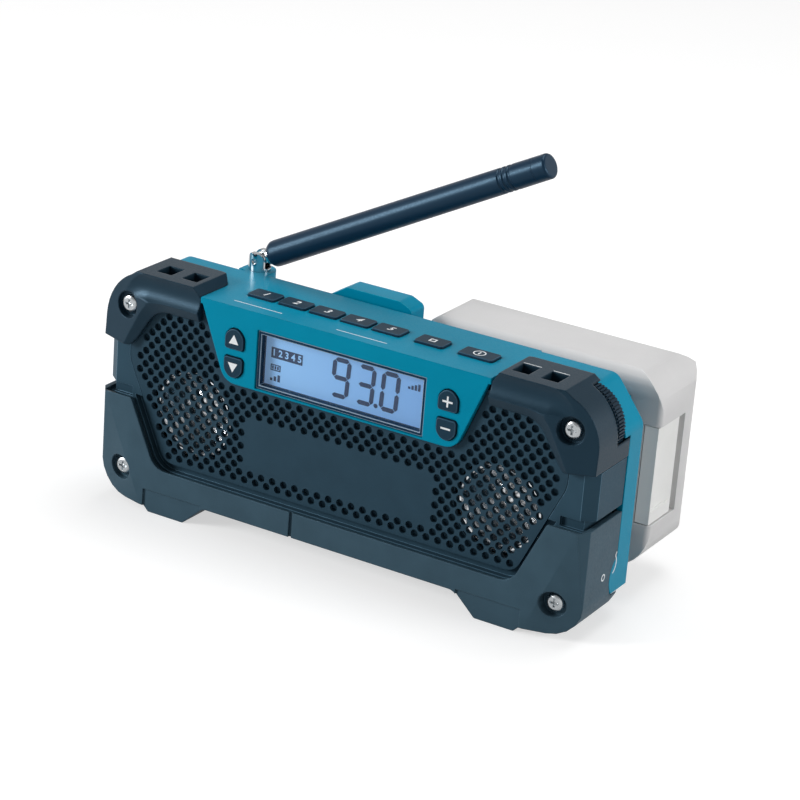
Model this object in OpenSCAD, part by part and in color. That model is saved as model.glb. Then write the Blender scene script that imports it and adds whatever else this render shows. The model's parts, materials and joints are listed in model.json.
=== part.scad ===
/* [Body] */
// Width over the end caps and the lower bumper
body_w = 182; // [178:1:200]
// Height from the feet to the tops of the end caps
body_h = 82; // [80:1:90]
// Depth from the front of the bumper to the rear wall of the shell
body_d = 36; // [36:1:44]
// Wall thickness of the moulded shells
wall = 2; // [1.6:0.1:2.4]
// Height of the shell's underside above the ground
ground_gap = 8; // [7:0.5:10]
// Drop from the cap tops to the deck that carries the keys
deck_drop = 2.8; // [2:0.1:3.4]
// Depth of the shell's bare sides behind the front housing
shell_side_d = 11.5; // [10:0.5:12.5]
// Depth of the shell behind the end caps
shell_top_d = 15; // [14:0.25:15.5]
// Set-back of the housing's front face behind the bumper
face_inset = 4; // [3.6:0.1:4.4]
// Step from the cap sides in to the housing sides
side_inset = 2; // [1.4:0.1:2.4]
// Width of the shell's sloping upper corner
corner_w = 10.5; // [8:0.5:12]
// Height of the shell's sloping upper corner
corner_h = 13.5; // [11:0.5:15]
// Width and height of the lower corner
lower_corner = 3.2; // [3:0.1:9]

/* [Fits] */
// Gap between two mouldings that are screwed together
seam = 0.2; // [0.1:0.05:0.3]
// Gap around a piece that moves
play = 0.3; // [0.25:0.05:0.4]
// Radial gap of a turning pin in its bore
pin_fit = 0.05; // [0.02:0.01:0.08]

/* [End caps] */
// Clear width of the deck between the end caps
deck_w = 107.2; // [106:0.2:112]
// Radius of the cap's outer corner
cap_corner_r = 17.7; // [15:0.1:19]
// Height of a cap from its lower edge to its top
cap_h = 24.8; // [23:0.1:26]
// Height of a cap over the grille
cap_brow = 11.4; // [10.5:0.1:12]
// Thickness of the cap's top
cap_top = 3; // [2.4:0.1:3.4]
// Length of a strap slot along the body
slot_w = 5.8; // [5:0.1:6.4]
// Width of a strap slot across the body
slot_d = 7.3; // [6:0.1:8]
// Bar left between the two strap slots
slot_bar = 4.2; // [3.5:0.1:5]
// Distance of the strap slots from the front
slot_y = 6; // [5:0.1:7]
// Height of the strap tunnel under the cap's top
tunnel_h = 4.6; // [4.5:0.1:5]
// Width of the sloping part of a cap's front
bevel_w = 14.8; // [12:0.1:16]
// Depth of that slope at the side
bevel_d = 3.2; // [2:0.1:3.6]
// Radius of the hollow under a cap's front edge
scoop_r = 7; // [6:0.5:9]

/* [Lower bumper] */
// Height of the bumper's lower rail
rail_top = 16; // [15:0.1:18]
// Height of the bumper's side arms
arm_top = 38.6; // [36:0.1:41]
// Width of a side arm at its top
arm_w = 13.2; // [11:0.1:15]
// Distance from the centre to a foot's middle
foot_x = 62.5; // [58:0.5:66]
// Width of a foot on the ground
foot_w = 14; // [10:0.5:16]
// Length of the rail's middle tab
tab_w = 25.5; // [20:0.5:30]
// Distance that the corner crease runs inwards on its way down
crease_run = 15.5; // [12:0.5:18]
// Slope of the corner outside the crease
corner_slope = 16; // [8:0.5:18]
// Depth of the corner's bevel at the side
corner_bevel = 3.7; // [2:0.1:4]

/* [Grille] */
// Thickness of the perforated grille
grille_t = 1.6; // [1.2:0.1:2]
// Diameter of a perforation
perf_d = 2.6; // [2:0.1:2.8]
// Spacing of the perforations along a row
perf_pitch = 4.3; // [4.2:0.1:5]
// Spacing of the rows
perf_rise = 2.3; // [2.2:0.1:2.8]
// Gap between the grille and the bumper
grille_gap = 1.8; // [1.2:0.1:2.2]
// Half width of the plain badge field
badge_w = 36; // [30:0.5:40]
// Lower edge of the plain badge field
badge_low = 23.4; // [22:0.1:25]
// Upper edge of the plain badge field
badge_high = 43.2; // [41:0.1:44.5]

/* [Display] */
// Width of the display window
lcd_w = 59.6; // [54:0.2:62]
// Height of the display window
lcd_h = 17.2; // [15:0.2:18]
// Distance from the deck down to the display's middle
lcd_drop = 15.6; // [15:0.1:16.2]
// Thickness of the display window
lens_t = 1; // [0.8:0.1:1.4]
// Width of the display's surround
bezel_w = 1.4; // [1:0.1:1.6]
// Height of the console from its lower edge to the deck
console_h = 26.2; // [26:0.1:27.2]

/* [Keys] */
// How far a key stands proud
key_proud = 0.8; // [0.7:0.1:1.2]
// Travel of a key
key_travel = 0.5; // [0.4:0.05:0.6]
// Width of a preset key
preset_w = 10.2; // [9:0.1:10.6]
// Distance from one preset key to the next
preset_pitch = 11.75; // [11.4:0.05:12]
// Middle of the first preset key
preset_x = -38.3; // [-39:0.1:-37.8]
// Depth of a top key across the deck
top_key_d = 6.7; // [6:0.1:7.2]
// Middle of the top keys behind the front
top_key_y = 16.7; // [16:0.1:17]
// Width of the band key
band_w = 10.2; // [9:0.1:11]
// Middle of the band key
band_x = 24.2; // [23:0.1:25]
// Width of the power key
power_w = 12.2; // [11:0.1:13]
// Middle of the power key
power_x = 40.9; // [40:0.1:42]
// Width of a front key
side_key_w = 6.9; // [6:0.1:7.2]
// Height of a front key
side_key_h = 8; // [7:0.1:8.4]
// Middle of the front keys on either side of the display
side_key_x = 39.5; // [38.6:0.1:40]
// Gap between an upper and a lower front key
side_key_gap = 2.8; // [2.4:0.1:3.4]

/* [Speakers] */
// Outer diameter of a speaker
speaker_d = 40; // [36:0.5:42]
// Distance from the side of the body to a speaker's axis
speaker_side = 33.5; // [31:0.5:34]
// Height of a speaker's axis
speaker_z = 36; // [35:0.5:37]
// Depth of a speaker's basket
basket_d = 9; // [8:0.2:10]
// Diameter of a speaker's magnet
magnet_d = 22; // [18:0.5:24]
// Length of a speaker's magnet
magnet_h = 6; // [5:0.2:6.6]

/* [Tuning] */
// Diameter of the tuning wheel
wheel_d = 26.2; // [24:0.2:27]
// Thickness of the tuning wheel
wheel_t = 4.8; // [4:0.1:5]
// Distance from the side of the body to the wheel's axis
wheel_side = 13.2; // [13.1:0.1:14]
// Distance from the cap tops down to the wheel's axis
wheel_drop = 15; // [14.8:0.1:16]
// Diameter of the encoder's shaft
encoder_shaft_d = 6; // [5:0.1:6]

/* [Antenna] */
// Distance from the centre to the antenna's foot
antenna_x = 55; // [50:0.5:58]
// Distance of the antenna's axis behind the rear wall's inner face
antenna_back = 4; // [3.8:0.1:5]
// Height of the tilting pin above the deck
antenna_pin_h = 3.6; // [3.5:0.1:5]
// Angle of the antenna above the level
antenna_tilt = 27.8; // [14.6:0.1:60]
// Length of the antenna from its pin to its tip
antenna_len = 117; // [90:1:120]
// Diameter of the antenna's sleeve at its root
sleeve_d = 8.9; // [8:0.1:9.4]
// Diameter of the antenna's sleeve at its tip
sleeve_tip_d = 8.2; // [7.4:0.1:8.6]
// Diameter of the knuckle
knuckle_d = 7.6; // [7:0.1:8]
// Thickness of the tongue between the knuckle's ears
tongue_t = 2.8; // [2.4:0.1:3]
// Diameter of the tilting pin
tilt_pin_d = 2; // [1.6:0.1:2.4]

/* [Battery] */
// Length of the battery along the body
battery_w = 86.4; // [80:0.2:87]
// Height of the battery
battery_h = 67; // [60:0.5:68]
// Height of the battery's underside above the ground
battery_z = 9; // [8.8:0.1:10]
// Depth of the battery behind its sliding head
battery_d = 34; // [32:0.5:44]
// Radius of the battery's rear edges
battery_rear_r = 13; // [10:0.5:14]
// Radius of the battery's edges beside the shell
battery_front_r = 5; // [4:0.5:6]
// Radius of the battery's left end
battery_left_r = 6; // [4:0.5:10]
// Diameter of a cell
cell_d = 18.4; // [18:0.1:18.6]
// Length of a cell
cell_l = 65; // [60:1:66]
// Width of the latch button across the battery's end
latch_d = 15; // [12:0.5:17]
// Height of the latch button
latch_h = 33; // [26:0.5:34]
// Distance the latch button travels
latch_travel = 2.4; // [2:0.1:2.6]

/* [Dock] */
// Thickness of the dock's back plate
dock_plate = 2; // [1.6:0.1:2.4]
// Thickness of the battery's sliding head
head_t = 4; // [3.6:0.1:4.4]
// Half height of the battery's sliding head
head_half = 22; // [20:0.2:23]
// Overlap of a rail's lip over the head
lip_over = 4.5; // [4:0.1:5]
// Thickness of a rail's lip
lip_t = 3.4; // [3:0.1:3.8]
// Thickness of a rail's web
web_t = 3.4; // [3:0.1:4]
// Width of the terminal block
block_w = 33; // [30:0.5:36]
// Right-hand edge of the terminal block
block_right = 4; // [2:0.1:4.2]
// Rise of the terminal block over the deck
block_rise = 1.8; // [1:0.1:2]

/* [Screws] */
// Diameter of a front screw's head
screw_head_d = 6; // [5.4:0.1:6.4]
// Diameter of a front screw's shank
screw_d = 3; // [2.6:0.1:3]
// Length of a front screw under its head
screw_l = 10; // [8:0.5:10.5]
// Diameter of the well around a front screw's head
well_d = 8.8; // [8:0.1:9]
// Depth of the well under the front of a cap or the bumper
well_y = 4.2; // [3.6:0.1:4.4]
// Distance from the side of the body to a front screw
screw_side = 9.3; // [9:0.1:9.8]
// Distance from the cap tops down to an upper front screw
screw_drop = 12.2; // [11.6:0.1:12.6]
// Height of a lower front screw
screw_low = 12.6; // [12.2:0.1:13]

/* [Sockets] */
// Diameter of the earphone socket's hole
jack_d = 3.6; // [3.55:0.05:3.7]
// Length of the earphone socket
jack_l = 12; // [10:0.5:13]

/* [Hidden] */
$fn = 48;

// Body planes
half_w = body_w / 2;
deck_z = body_h - deck_drop;
split_d = body_d - shell_side_d;
shelf_d = body_d - shell_top_d;
housing_x = half_w - side_inset;
housing_low = ground_gap + side_inset;
tunnel_z = body_h - cap_top - tunnel_h;
baffle_y = face_inset + grille_t;
baffle_back = baffle_y + wall;
floor_z = ground_gap + wall;
rear_in = body_d - wall;

// End caps
cap_in = deck_w / 2;
cap_foot = body_h - cap_h;
cap_lip = body_h - cap_brow;
bare_in = 0.2;
bare_bevel_w = 2.2;
bare_bevel_d = 3.6;
cap_bevel = 2.6;
cap_end_r = 5;
cap_border = 4;
cap_border_d = 1.8;
scoop_y = -4.8;
fall_x = half_w - bevel_w;
fall_lean = 17.7;
fall_slope = atan(bevel_d / bevel_w / cos(fall_lean));
cap_mid = [half_w - cap_corner_r, body_h - cap_corner_r];
cap_knee = [half_w - 20.5, cap_lip];
cap_toe = [half_w - 13.4, cap_foot + 2.2];
cap_heel = [half_w - 10.8, cap_foot - 1];
slot_in = cap_in + cap_bevel + 1.8;
slot_out = slot_in + slot_w + slot_bar;

// Console between the caps
console_y = 2;
console_in_y = console_y + wall;
console_top_x = cap_in - seam;
console_low = deck_z - console_h;
console_low_x = side_key_x + side_key_w / 2;
lcd_z = deck_z - lcd_drop;
lcd_back = console_in_y + lens_t;
side_key_low = lcd_z - side_key_gap / 2 - side_key_h;
side_key_high = lcd_z + side_key_gap / 2;

// Key stack, measured from the moulding's outer face
flange = 0.6;
flange_t = 1;
switch_h = 2.2;
board_t = 1.6;
stem_l = 1.2;
key_depth = wall + play / 2 + flange_t + stem_l;
board_drop = key_depth + key_travel + play / 2 + switch_h;
front_board_y = console_y + board_drop;
key_spots_top = concat([for (i = [0:4]) preset_x + i * preset_pitch], [band_x, power_x]);
stake_spots = [preset_x - 2, 5, power_x + 3];
stake_y = top_key_y + 7.3;

// Bumper
crease_x = half_w - 2.8;
arm_lean = 0.46;
rail_end = half_w - arm_w - arm_lean * (arm_top - rail_top);
bumper_foot = 2;
bumper_corner = 11;
toe_back = split_d + 3;
toe_w = 8;
toe_top = ground_gap + lower_corner;
foot_step = 8;
foot_step_t = 0.6;
edge_t = 0.8;

// Grille
grille_foot = rail_end + arm_lean * grille_gap - grille_gap * sqrt(1 + arm_lean * arm_lean);
grille_side = half_w - 9.7;
grille_bend = rail_top + grille_gap + (grille_side - grille_foot) / arm_lean;
speaker_x = half_w - speaker_side;
cone_r = speaker_d / 2 - 4.8;

// Wheel
wheel_x = half_w - wheel_side;
wheel_z = body_h - wheel_drop;
wheel_back = shelf_d - play;
wheel_front = wheel_back - wheel_t;
encoder_a = 10;
encoder_y = wheel_back + play + 0.4;

// Boards and wiring
board_y = rear_in - 6;
board_back = board_y + board_t;
board_top = deck_z - 22;
board_spots = [[-half_w + 25, ground_gap + 13], [half_w - 30, ground_gap + 13],
    [-half_w + 25, board_top - 5], [8, board_top - 5]];
board_screw_d = 2.4;
can_size = [22, 20, 4.2];
can_at = [-30, board_top - 29];
chip_size = [14, 14, 1.8];
chip_at = [-2, board_top - 27];
small_chip = [8, 8, 1.4];
small_chip_at = [16, board_top - 35];
coil_d = 6.3;
coil_h = 3;
coil_spots = [-16, -6, 4];
ribbon_half = 6;
ribbon_t = 0.4;
jack_body = [8, 7.2];
lead_d = 1.4;
lead_x = block_right - 5;

// Antenna
antenna_y = rear_in + antenna_back;
pin_z = deck_z + antenna_pin_h;
sleeve_start = 5.2;
tip_l = 5;
ear_gap = tongue_t + 2 * play / 2;
post_d = 4.4;
lug_d = 11;
lug_h = 8;
lug_low = deck_z - lug_h;
tag_w = 3;
tag_t = 1;
core_d = 2.4;

// Battery and dock
dock_y = body_d + dock_plate;
head_y = dock_y + play;
neck_y = head_y + head_t;
lip_y = neck_y + play;
rail_back = lip_y + lip_t;
battery_y = rail_back + play;
overall_d = battery_y + battery_d;
battery_right = half_w;
battery_left = battery_right - battery_w;
battery_top = battery_z + battery_h;
rail_mid = battery_z + battery_h / 2 - 0.5;
rail_right = battery_right - 11;
block_left = block_right - block_w;
plinth_top = rail_mid - head_half - play - web_t;
blade_n = 3;
blade_gap = 9;
blade_t = 0.8;
blade_h = 5.2;
blade_y = neck_y - 2.4;
blade_in = block_right - 6;
blade_out = battery_left + 9;
latch_in = 5.4;
latch_gap = 0.6;
latch_room = latch_travel + latch_gap;
latch_tail = latch_room + 0.6;
latch_tail_x = battery_right - 2.6;
latch_mid = rail_mid + 0.5;
latch_low = latch_mid - latch_h / 2;
latch_high = latch_mid + latch_h / 2;
strap_t = 0.3;
bay_l = cell_l + 2 * (strap_t + play);
cell_x0 = battery_left + (battery_w - latch_in - bay_l) / 2;
cell_start = cell_x0 + play + strap_t;
cells_y = battery_y + battery_d / 2 + 1;
cell_gap = 1.3;
rib_in = 12;
rib_t = 3;

// Screws
screw_x = half_w - screw_side;
screw_high = body_h - screw_drop;
head_h = 1.8;
well_back = well_y + 1;
cup_d = well_d + 2.4;
boss_d = 7;
groove_h = 2.4;
groove_t = 1.3;
rear_x = half_w - 7;
post_gap = 4.5;
rear_spots = [[-rear_x, 24], [rear_x, 24], [-rear_x, cap_foot - 4.2],
    [speaker_x - speaker_d / 2 - post_gap, console_low - 6.5]];
jack_x = half_w - 11;
jack_y = body_d - wall - 4;

// Geometry helpers ------------------------------------------------------------

function unit(v) = v / norm(v);
function flat(p) = [p[0], p[1]];

// Moves each corner of a counter-clockwise outline [x, z, radius] inwards by d
function inset(path, d) = [for (i = [0:len(path) - 1])
    let (n = len(path),
         u = unit(flat(path[i]) - flat(path[(i + n - 1) % n])),
         w = unit(flat(path[(i + 1) % n]) - flat(path[i])),
         a = [-u[1], u[0]],
         b = [-w[1], w[0]],
         p = flat(path[i]) + d * (a + b) / (1 + a * b))
    [p[0], p[1], max(path[i][2] - d, 0.2)]];

// Replaces each corner of an outline [x, z, radius] by an arc of that radius
function rounded(path, steps = 5) = [for (i = [0:len(path) - 1])
    let (n = len(path),
         p = flat(path[i]),
         u = unit(flat(path[(i + n - 1) % n]) - p),
         w = unit(flat(path[(i + 1) % n]) - p),
         r = path[i][2],
         half = acos(u * w) / 2,
         mid = p + unit(u + w) * r / sin(half),
         from = p + u * r / tan(half) - mid,
         start = atan2(from[1], from[0]),
         turn = (u[0] * w[1] - u[1] * w[0] > 0 ? -1 : 1) * (180 - 2 * half))
    each r < 0.01 ? [p] : [for (k = [0:steps])
        mid + r * [cos(start + turn * k / steps), sin(start + turn * k / steps)]]];

function mirrored(path) = concat(path,
    [for (i = [len(path) - 1:-1:0]) [-path[i][0], path[i][1], path[i][2]]]);

// Extrudes a front view (x, z) from depth y0 to depth y1
module slab(y0, y1) {
    translate([0, y1, 0]) rotate([90, 0, 0]) linear_extrude(y1 - y0) children();
}

// Extrudes a side view (y, z) from x0 to x1
module bar(x0, x1) {
    translate([x0, 0, 0]) rotate([90, 0, 90]) linear_extrude(x1 - x0) children();
}

// A cylinder along Y
module rod(x, z, y0, y1, d) {
    translate([x, y1, z]) rotate([90, 0, 0]) cylinder(h = y1 - y0, d = d);
}

module block(low, high) {
    translate(low) cube(high - low);
}

// The two sides share each moulding that comes as a mirrored pair
module on_side(side) {
    mirror([side < 0 ? 1 : 0, 0, 0]) children();
}

// Centres the base of the part on the origin
module placed() {
    translate([0, -overall_d / 2, 0]) children();
}

// Outlines, counter-clockwise from the bottom right ---------------------------

shell_path = mirrored([
    [half_w - lower_corner, ground_gap, 5],
    [half_w, ground_gap + lower_corner, 5],
    [half_w, deck_z - corner_h, 5],
    [half_w - corner_w, deck_z, 4]]);

housing_path = mirrored([
    [housing_x - lower_corner, housing_low, 4],
    [housing_x, housing_low + lower_corner, 4],
    [housing_x, tunnel_z - 5.8, 3],
    [housing_x - 5.8, tunnel_z, 3]]);

console_path = [
    [-console_low_x, console_low, 6],
    [console_low_x, console_low, 6],
    [console_top_x, deck_z, 0],
    [-console_top_x, deck_z, 0]];

grille_path = mirrored([
    [grille_foot, rail_top + grille_gap, 5.5],
    [grille_side, grille_bend, 10],
    [grille_side, cap_foot + 1, 3],
    [half_w - 18.5, cap_lip + 2.6, 6]]);

cap_path = concat(
    rounded([[cap_in, cap_lip, 0], [cap_knee[0], cap_knee[1], 9], [cap_toe[0], cap_toe[1], 2],
        [cap_heel[0], cap_heel[1], 1], [half_w - 8, cap_foot - 0.8, 0], [half_w, cap_foot, 0]]),
    [for (a = [0:8:68]) cap_mid + cap_corner_r * [cos(a), sin(a)]],
    [[half_w - 12.4, body_h], [cap_in + cap_bevel, body_h], [cap_in, deck_z - 1]]);

// Region of the grille that the caps' borders slope down to
border_path = mirrored([
    [cap_toe[0] + 3, cap_foot - 3, 0], [cap_toe[0], cap_toe[1], 2], [cap_knee[0], cap_knee[1], 9]]);

bumper_half = [
    [foot_x - foot_w / 2 - 8, ground_gap - 0.6, 4],
    [foot_x - foot_w / 2, 0, 1],
    [foot_x + foot_w / 2, 0, 1],
    [foot_x + foot_w / 2 + 2, bumper_foot, 1],
    [half_w, bumper_foot, bumper_corner],
    [half_w, arm_top, 0],
    [half_w - arm_w, arm_top, 1],
    [rail_end, rail_top, 7]];
bumper_path = mirrored(bumper_half);

// Body ------------------------------------------------------------------------

// Switch from a front key to a top key: the key stack points along -Z here
module key_hole(outline) {
    translate([0, 0, -wall - 1]) linear_extrude(wall + 2)
        polygon(rounded(inset(outline, -play)));
}

module on_front(x, z) {
    translate([x, console_y, z]) rotate([90, 0, 0]) children();
}

module on_deck(x) {
    translate([x, top_key_y, deck_z]) children();
}

module body_shell() {
    color("#0d8aa3") difference() {
        union() {
            // Rear tub with a bevelled rear edge
            difference() {
                union() {
                    slab(shelf_d, rear_in - 1) polygon(rounded(shell_path));
                    hull() {
                        slab(rear_in - 1.2, rear_in - 1) polygon(rounded(shell_path));
                        slab(body_d - 0.2, body_d) polygon(rounded(inset(shell_path, wall)));
                    }
                }
                slab(shelf_d - 1, rear_in) polygon(rounded(inset(shell_path, wall)));
                // The front housing reaches further back below the wheel
                slab(shelf_d - 1, split_d) polygon([
                    [-half_w - 1, -1], [half_w + 1, -1],
                    [half_w + 1, wheel_z - 3], [-half_w - 1, wheel_z - 3]]);
            }
            // Deck and console
            block([-console_top_x, console_y, deck_z - wall],
                [console_top_x, rear_in, deck_z]);
            slab(console_y, console_in_y) polygon(rounded(console_path));
            for (side = [-1, 1]) on_side(side)
                deck_corner(cap_end_r + seam, deck_z - wall, deck_z);
            // Round ears that reach forward beside the bumper's rear corners
            for (side = [-1, 1]) on_side(side) ear(0);
            // Lug for the antenna
            translate([-antenna_x, antenna_y, lug_low]) cylinder(h = lug_h, d = lug_d);
            block([-antenna_x - lug_d / 2, rear_in, lug_low],
                [-antenna_x + lug_d / 2, antenna_y, deck_z]);
            // Boss that carries the earphone socket
            translate([jack_x, jack_y, ground_gap]) cylinder(h = 4, d = 9);
            // Posts of the main board, and stakes that carry the top keys' board
            for (p = board_spots) rod(p[0], p[1], board_back, rear_in + 0.5, 5);
            for (x = stake_spots) translate([x, stake_y, deck_z - board_drop]) {
                cylinder(h = board_drop - 1, d = 4);
                translate([0, 0, -board_t - 0.5]) cylinder(h = board_t + 1, d = 1.8);
            }
        }
        // Display window
        slab(console_y - 1, console_in_y + 1) square_at(0, lcd_z, lcd_w + 2 * bezel_w,
            lcd_h + 2 * bezel_w);
        for (side = [-1, 1]) {
            on_front(side * side_key_x, side_key_high) key_hole(upper_key_path());
            on_front(side * side_key_x, side_key_low) key_hole(lower_key_path());
        }
        for (i = [0:4]) on_deck(preset_x + i * preset_pitch) key_hole(top_key_path(preset_w));
        on_deck(band_x) key_hole(top_key_path(band_w));
        on_deck(power_x) key_hole(top_key_path(power_w));
        // Antenna socket, rear screws and earphone socket
        translate([-antenna_x, antenna_y, lug_low - 1])
            cylinder(h = lug_h + 2, d = post_d + 3);
        for (p = rear_spots) rod(p[0], p[1], rear_in - 1, body_d + 1, screw_d + 2 * play);
        translate([jack_x, jack_y, ground_gap - 1]) cylinder(h = 6, d = 6 + 2 * seam);
        // Board screws, battery leads and the tag of the antenna socket
        for (p = board_spots) rod(p[0], p[1], board_y, rear_in, board_screw_d);
        lead_holes(rear_in - 1, body_d + 1);
        block([-antenna_x - tag_w / 2 - seam, board_y, lug_low - 1],
            [-antenna_x + tag_w / 2 + seam, antenna_y, lug_low + tag_t + seam]);
    }
}

// Ear of the shell beside the bumper, grown by a margin
module ear(grow) {
    low = ground_gap + lower_corner - half_w - grow * sqrt(2);
    difference() {
        translate([half_w - wall - grow, split_d + 4, ground_gap + 8.5])
            rotate([0, 90, 0]) cylinder(h = wall + grow * 6, d = 16 + 2 * grow);
        slab(0, body_d) polygon([[half_w - 20, half_w - 20 + low],
            [half_w + 2, half_w - 20 + low], [half_w + 2, half_w + 2 + low]]);
        block([0, rear_in - 1, 0], [half_w + 2, body_d + 10, body_h]);
    }
}

module lead_holes(y0, y1) {
    for (i = [0, blade_n - 1]) rod(lead_x, blade_z(i), y0, y1, lead_d + 2 * seam);
}

module square_at(x, z, w, h) {
    translate([x - w / 2, z - h / 2]) square([w, h]);
}

module front_housing() {
    color("#2b3a45") difference() {
        union() {
            difference() {
                slab(face_inset, split_d - seam) polygon(rounded(housing_path));
                slab(baffle_back, split_d) polygon(rounded(inset(housing_path, wall)));
                // Room behind the caps for the shell's shelf
                block([-half_w - 1, shelf_d - seam, wheel_z - 3 - seam],
                    [half_w + 1, split_d, body_h]);
            }
            // Bare sides stand out level with the caps and the bumper
            for (side = [-1, 1]) on_side(side)
                block([housing_x - 1, face_inset + 0.5, arm_top],
                    [half_w - bare_in, split_d - seam, cap_foot - 0.5]);
            // Cups under the front screws' wells, and the posts behind them
            for (side = [-1, 1]) {
                rod(side * screw_x, screw_high, baffle_y, wheel_front - play, boss_d);
                rod(side * screw_x, screw_low + 2.4, baffle_y, wheel_front - play, boss_d);
                slab(baffle_y, well_back + wall) intersection() {
                    polygon(rounded(housing_path));
                    union() for (z = [screw_low, screw_high])
                        translate([side * screw_x, z]) circle(d = cup_d + 2 * wall);
                }
            }
            for (p = rear_spots) rod(p[0], p[1], baffle_y, rear_in - seam, boss_d);
        }
        // Seat of the grille, with a deeper groove beside the bumper's inner edge
        slab(face_inset - 1, baffle_y) polygon(rounded(inset(grille_path, -seam)));
        slab(face_inset - 1, baffle_y + groove_t / 2) intersection() {
            difference() {
                polygon(rounded(inset(grille_path, -grille_gap - 1)));
                polygon(rounded(inset(grille_path, 0.4)));
            }
            square_between(-half_w, 0, half_w, arm_top);
        }
        // Room for the console and what hangs from the deck
        slab(face_inset - 1, split_d) polygon(rounded(inset([
            [-console_low_x, console_low, 6], [console_low_x, console_low, 6],
            [console_top_x, deck_z + 3, 0], [-console_top_x, deck_z + 3, 0]], -seam)));
        // Speaker openings
        for (side = [-1, 1]) rod(side * speaker_x, speaker_z, 0, baffle_back + 1, 2 * (cone_r + play));
        // Cups and screw holes
        for (side = [-1, 1], z = [screw_low, screw_high]) {
            rod(side * screw_x, z, 0, well_back + seam, cup_d + 2 * seam);
            rod(side * screw_x, z, 0, well_y + screw_l + 0.3, screw_d - 0.4);
        }
        // Bevelled front corner of the bare sides
        for (side = [-1, 1]) on_side(side)
            translate([housing_x - bare_bevel_w, face_inset, arm_top])
                rotate([0, 0, atan2(bare_bevel_d, side_inset + bare_bevel_w)])
                translate([0, -body_d, 0]) cube([body_d, body_d, cap_foot - 0.5 - arm_top]);
        // Groove between the bare sides and the bumper's arms
        slab(face_inset - 1, split_d) difference() {
            square_between(-half_w - 1, arm_top - 1, half_w + 1, arm_top + groove_h);
            square_between(-housing_x + groove_t, 0, housing_x - groove_t, body_h);
        }
        slab(face_inset - 1, face_inset + groove_t) for (side = [-1, 1])
            square_at(side * (half_w - 5), arm_top + (groove_h - 1) / 2, 12, groove_h + 1);
        for (p = rear_spots) rod(p[0], p[1], body_d - 14, body_d, screw_d - 0.4);
        // Pocket of the tuning wheel
        rod(wheel_x, wheel_z, wheel_front - play, split_d, wheel_d + 2 * play + 0.6);
    }
}

module front_grille() {
    rows = ceil((cap_lip - rail_top) / perf_rise / 2);
    columns = ceil(half_w / perf_pitch);
    mid_z = (cap_lip + rail_top) / 2;
    margin = inset(grille_path, perf_d / 2 + 0.7);
    color("#35434d") slab(face_inset, baffle_y) difference() {
        polygon(rounded(grille_path));
        polygon(rounded(inset(console_path, -seam)));
        for (j = [-rows:rows], i = [-columns:columns]) {
            x = (i + (j % 2 == 0 ? 0 : 0.5)) * perf_pitch;
            z = mid_z + j * perf_rise;
            if (perforated(x, z, margin)) translate([x, z]) circle(d = perf_d, $fn = 16);
        }
    }
}

// True where a hole at (x, z) keeps its rim inside the grille and off the badge,
// the console, the caps and the bumper
function perforated(x, z, margin) =
    inside(abs(x), z, margin)
    && !(abs(x) < badge_w && z > badge_low && z < badge_high)
    && (z < console_low - perf_d || abs(x) > console_low_x + perf_d
        + (z - console_low) * (console_top_x - console_low_x) / (deck_z - console_low))
    && z < cap_lip - perf_d * 0.7
    && left_of(cap_toe, cap_knee, abs(x), z) > perf_d * 0.7
    && left_of(cap_heel, cap_toe, abs(x), z) > perf_d * 0.7;

// Distance of (x, z) to the left of the line from a to b
function left_of(a, b, x, z) = let (e = unit(b - a)) e[0] * (z - a[1]) - e[1] * (x - a[0]);

function inside(x, z, path) = min([for (i = [0:len(path) - 1])
    left_of(flat(path[i]), flat(path[(i + 1) % len(path)]), x, z)]) > 0;

// Corner that a cap's rounded rear end leaves to the deck, from height z0 to z1
module deck_corner(r, z0, z1) {
    translate([cap_in + cap_end_r, shelf_d - play - cap_end_r, z0]) linear_extrude(z1 - z0)
        difference() {
            translate([-cap_end_r - 2, 0]) square([cap_end_r + 2, cap_end_r + 1]);
            circle(r);
        }
}

module cap(side) {
    on_side(side) difference() {
        union() {
            difference() {
                slab(0, split_d - seam) polygon(cap_path);
                // The housing fills the cap
                slab(face_inset, split_d) polygon(rounded(inset(housing_path, -seam)));
            }
            rod(screw_x, screw_high, face_inset - 1, well_back, cup_d);
        }
        // Behind the flat of the cap the shell takes over
        block([0, shelf_d - play, wheel_z - 3 - seam], [half_w + 1, split_d, body_h + 1]);
        // Rounded rear corner
        deck_corner(cap_end_r, deck_z - wall - seam, body_h + 1);
        cap_front();
        // Strap slots and the tunnel that joins them
        for (x = [slot_in, slot_out])
            block([x, slot_y, tunnel_z], [x + slot_w, slot_y + slot_d, body_h + 1]);
        block([slot_in, slot_y, tunnel_z - 1], [slot_out + slot_w, slot_y + slot_d, body_h - cap_top]);
        // Well and hole of the screw
        rod(screw_x, screw_high, -1, well_y, well_d);
        rod(screw_x, screw_high, -1, well_back + 1, screw_d + 2 * play);
        children();
    }
}

// What is taken off a cap's front: the hollow under its upper front edge, which
// follows the corner, the fall towards the side and the border beside the grille
module cap_front() {
    scoop_z = deck_z - 0.8;
    translate([cap_in - 1, scoop_y, scoop_z]) rotate([0, 90, 0])
        cylinder(h = cap_mid[0] - cap_in + 1, r = scoop_r, $fn = 96);
    translate([cap_mid[0], scoop_y, cap_mid[1]]) intersection() {
        rotate([-90, 0, 0]) rotate_extrude($fn = 96)
            translate([scoop_z - cap_mid[1], 0]) circle(r = scoop_r, $fn = 96);
        block([0, 0, 0], [body_d, body_d, body_d]);
    }
    translate([fall_x, 0, cap_mid[1]]) rotate([0, -fall_lean, 0]) rotate([0, 0, fall_slope])
        translate([0, -body_d, -body_h]) cube([2 * body_d, body_d, 2 * body_h]);
    hull() {
        slab(-0.2, 0) polygon(rounded(inset(border_path, -cap_border)));
        slab(cap_border_d, cap_border_d + 0.2) polygon(rounded(border_path));
    }
}

module left_cap() {
    color("#27343e") cap(-1);
}

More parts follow.
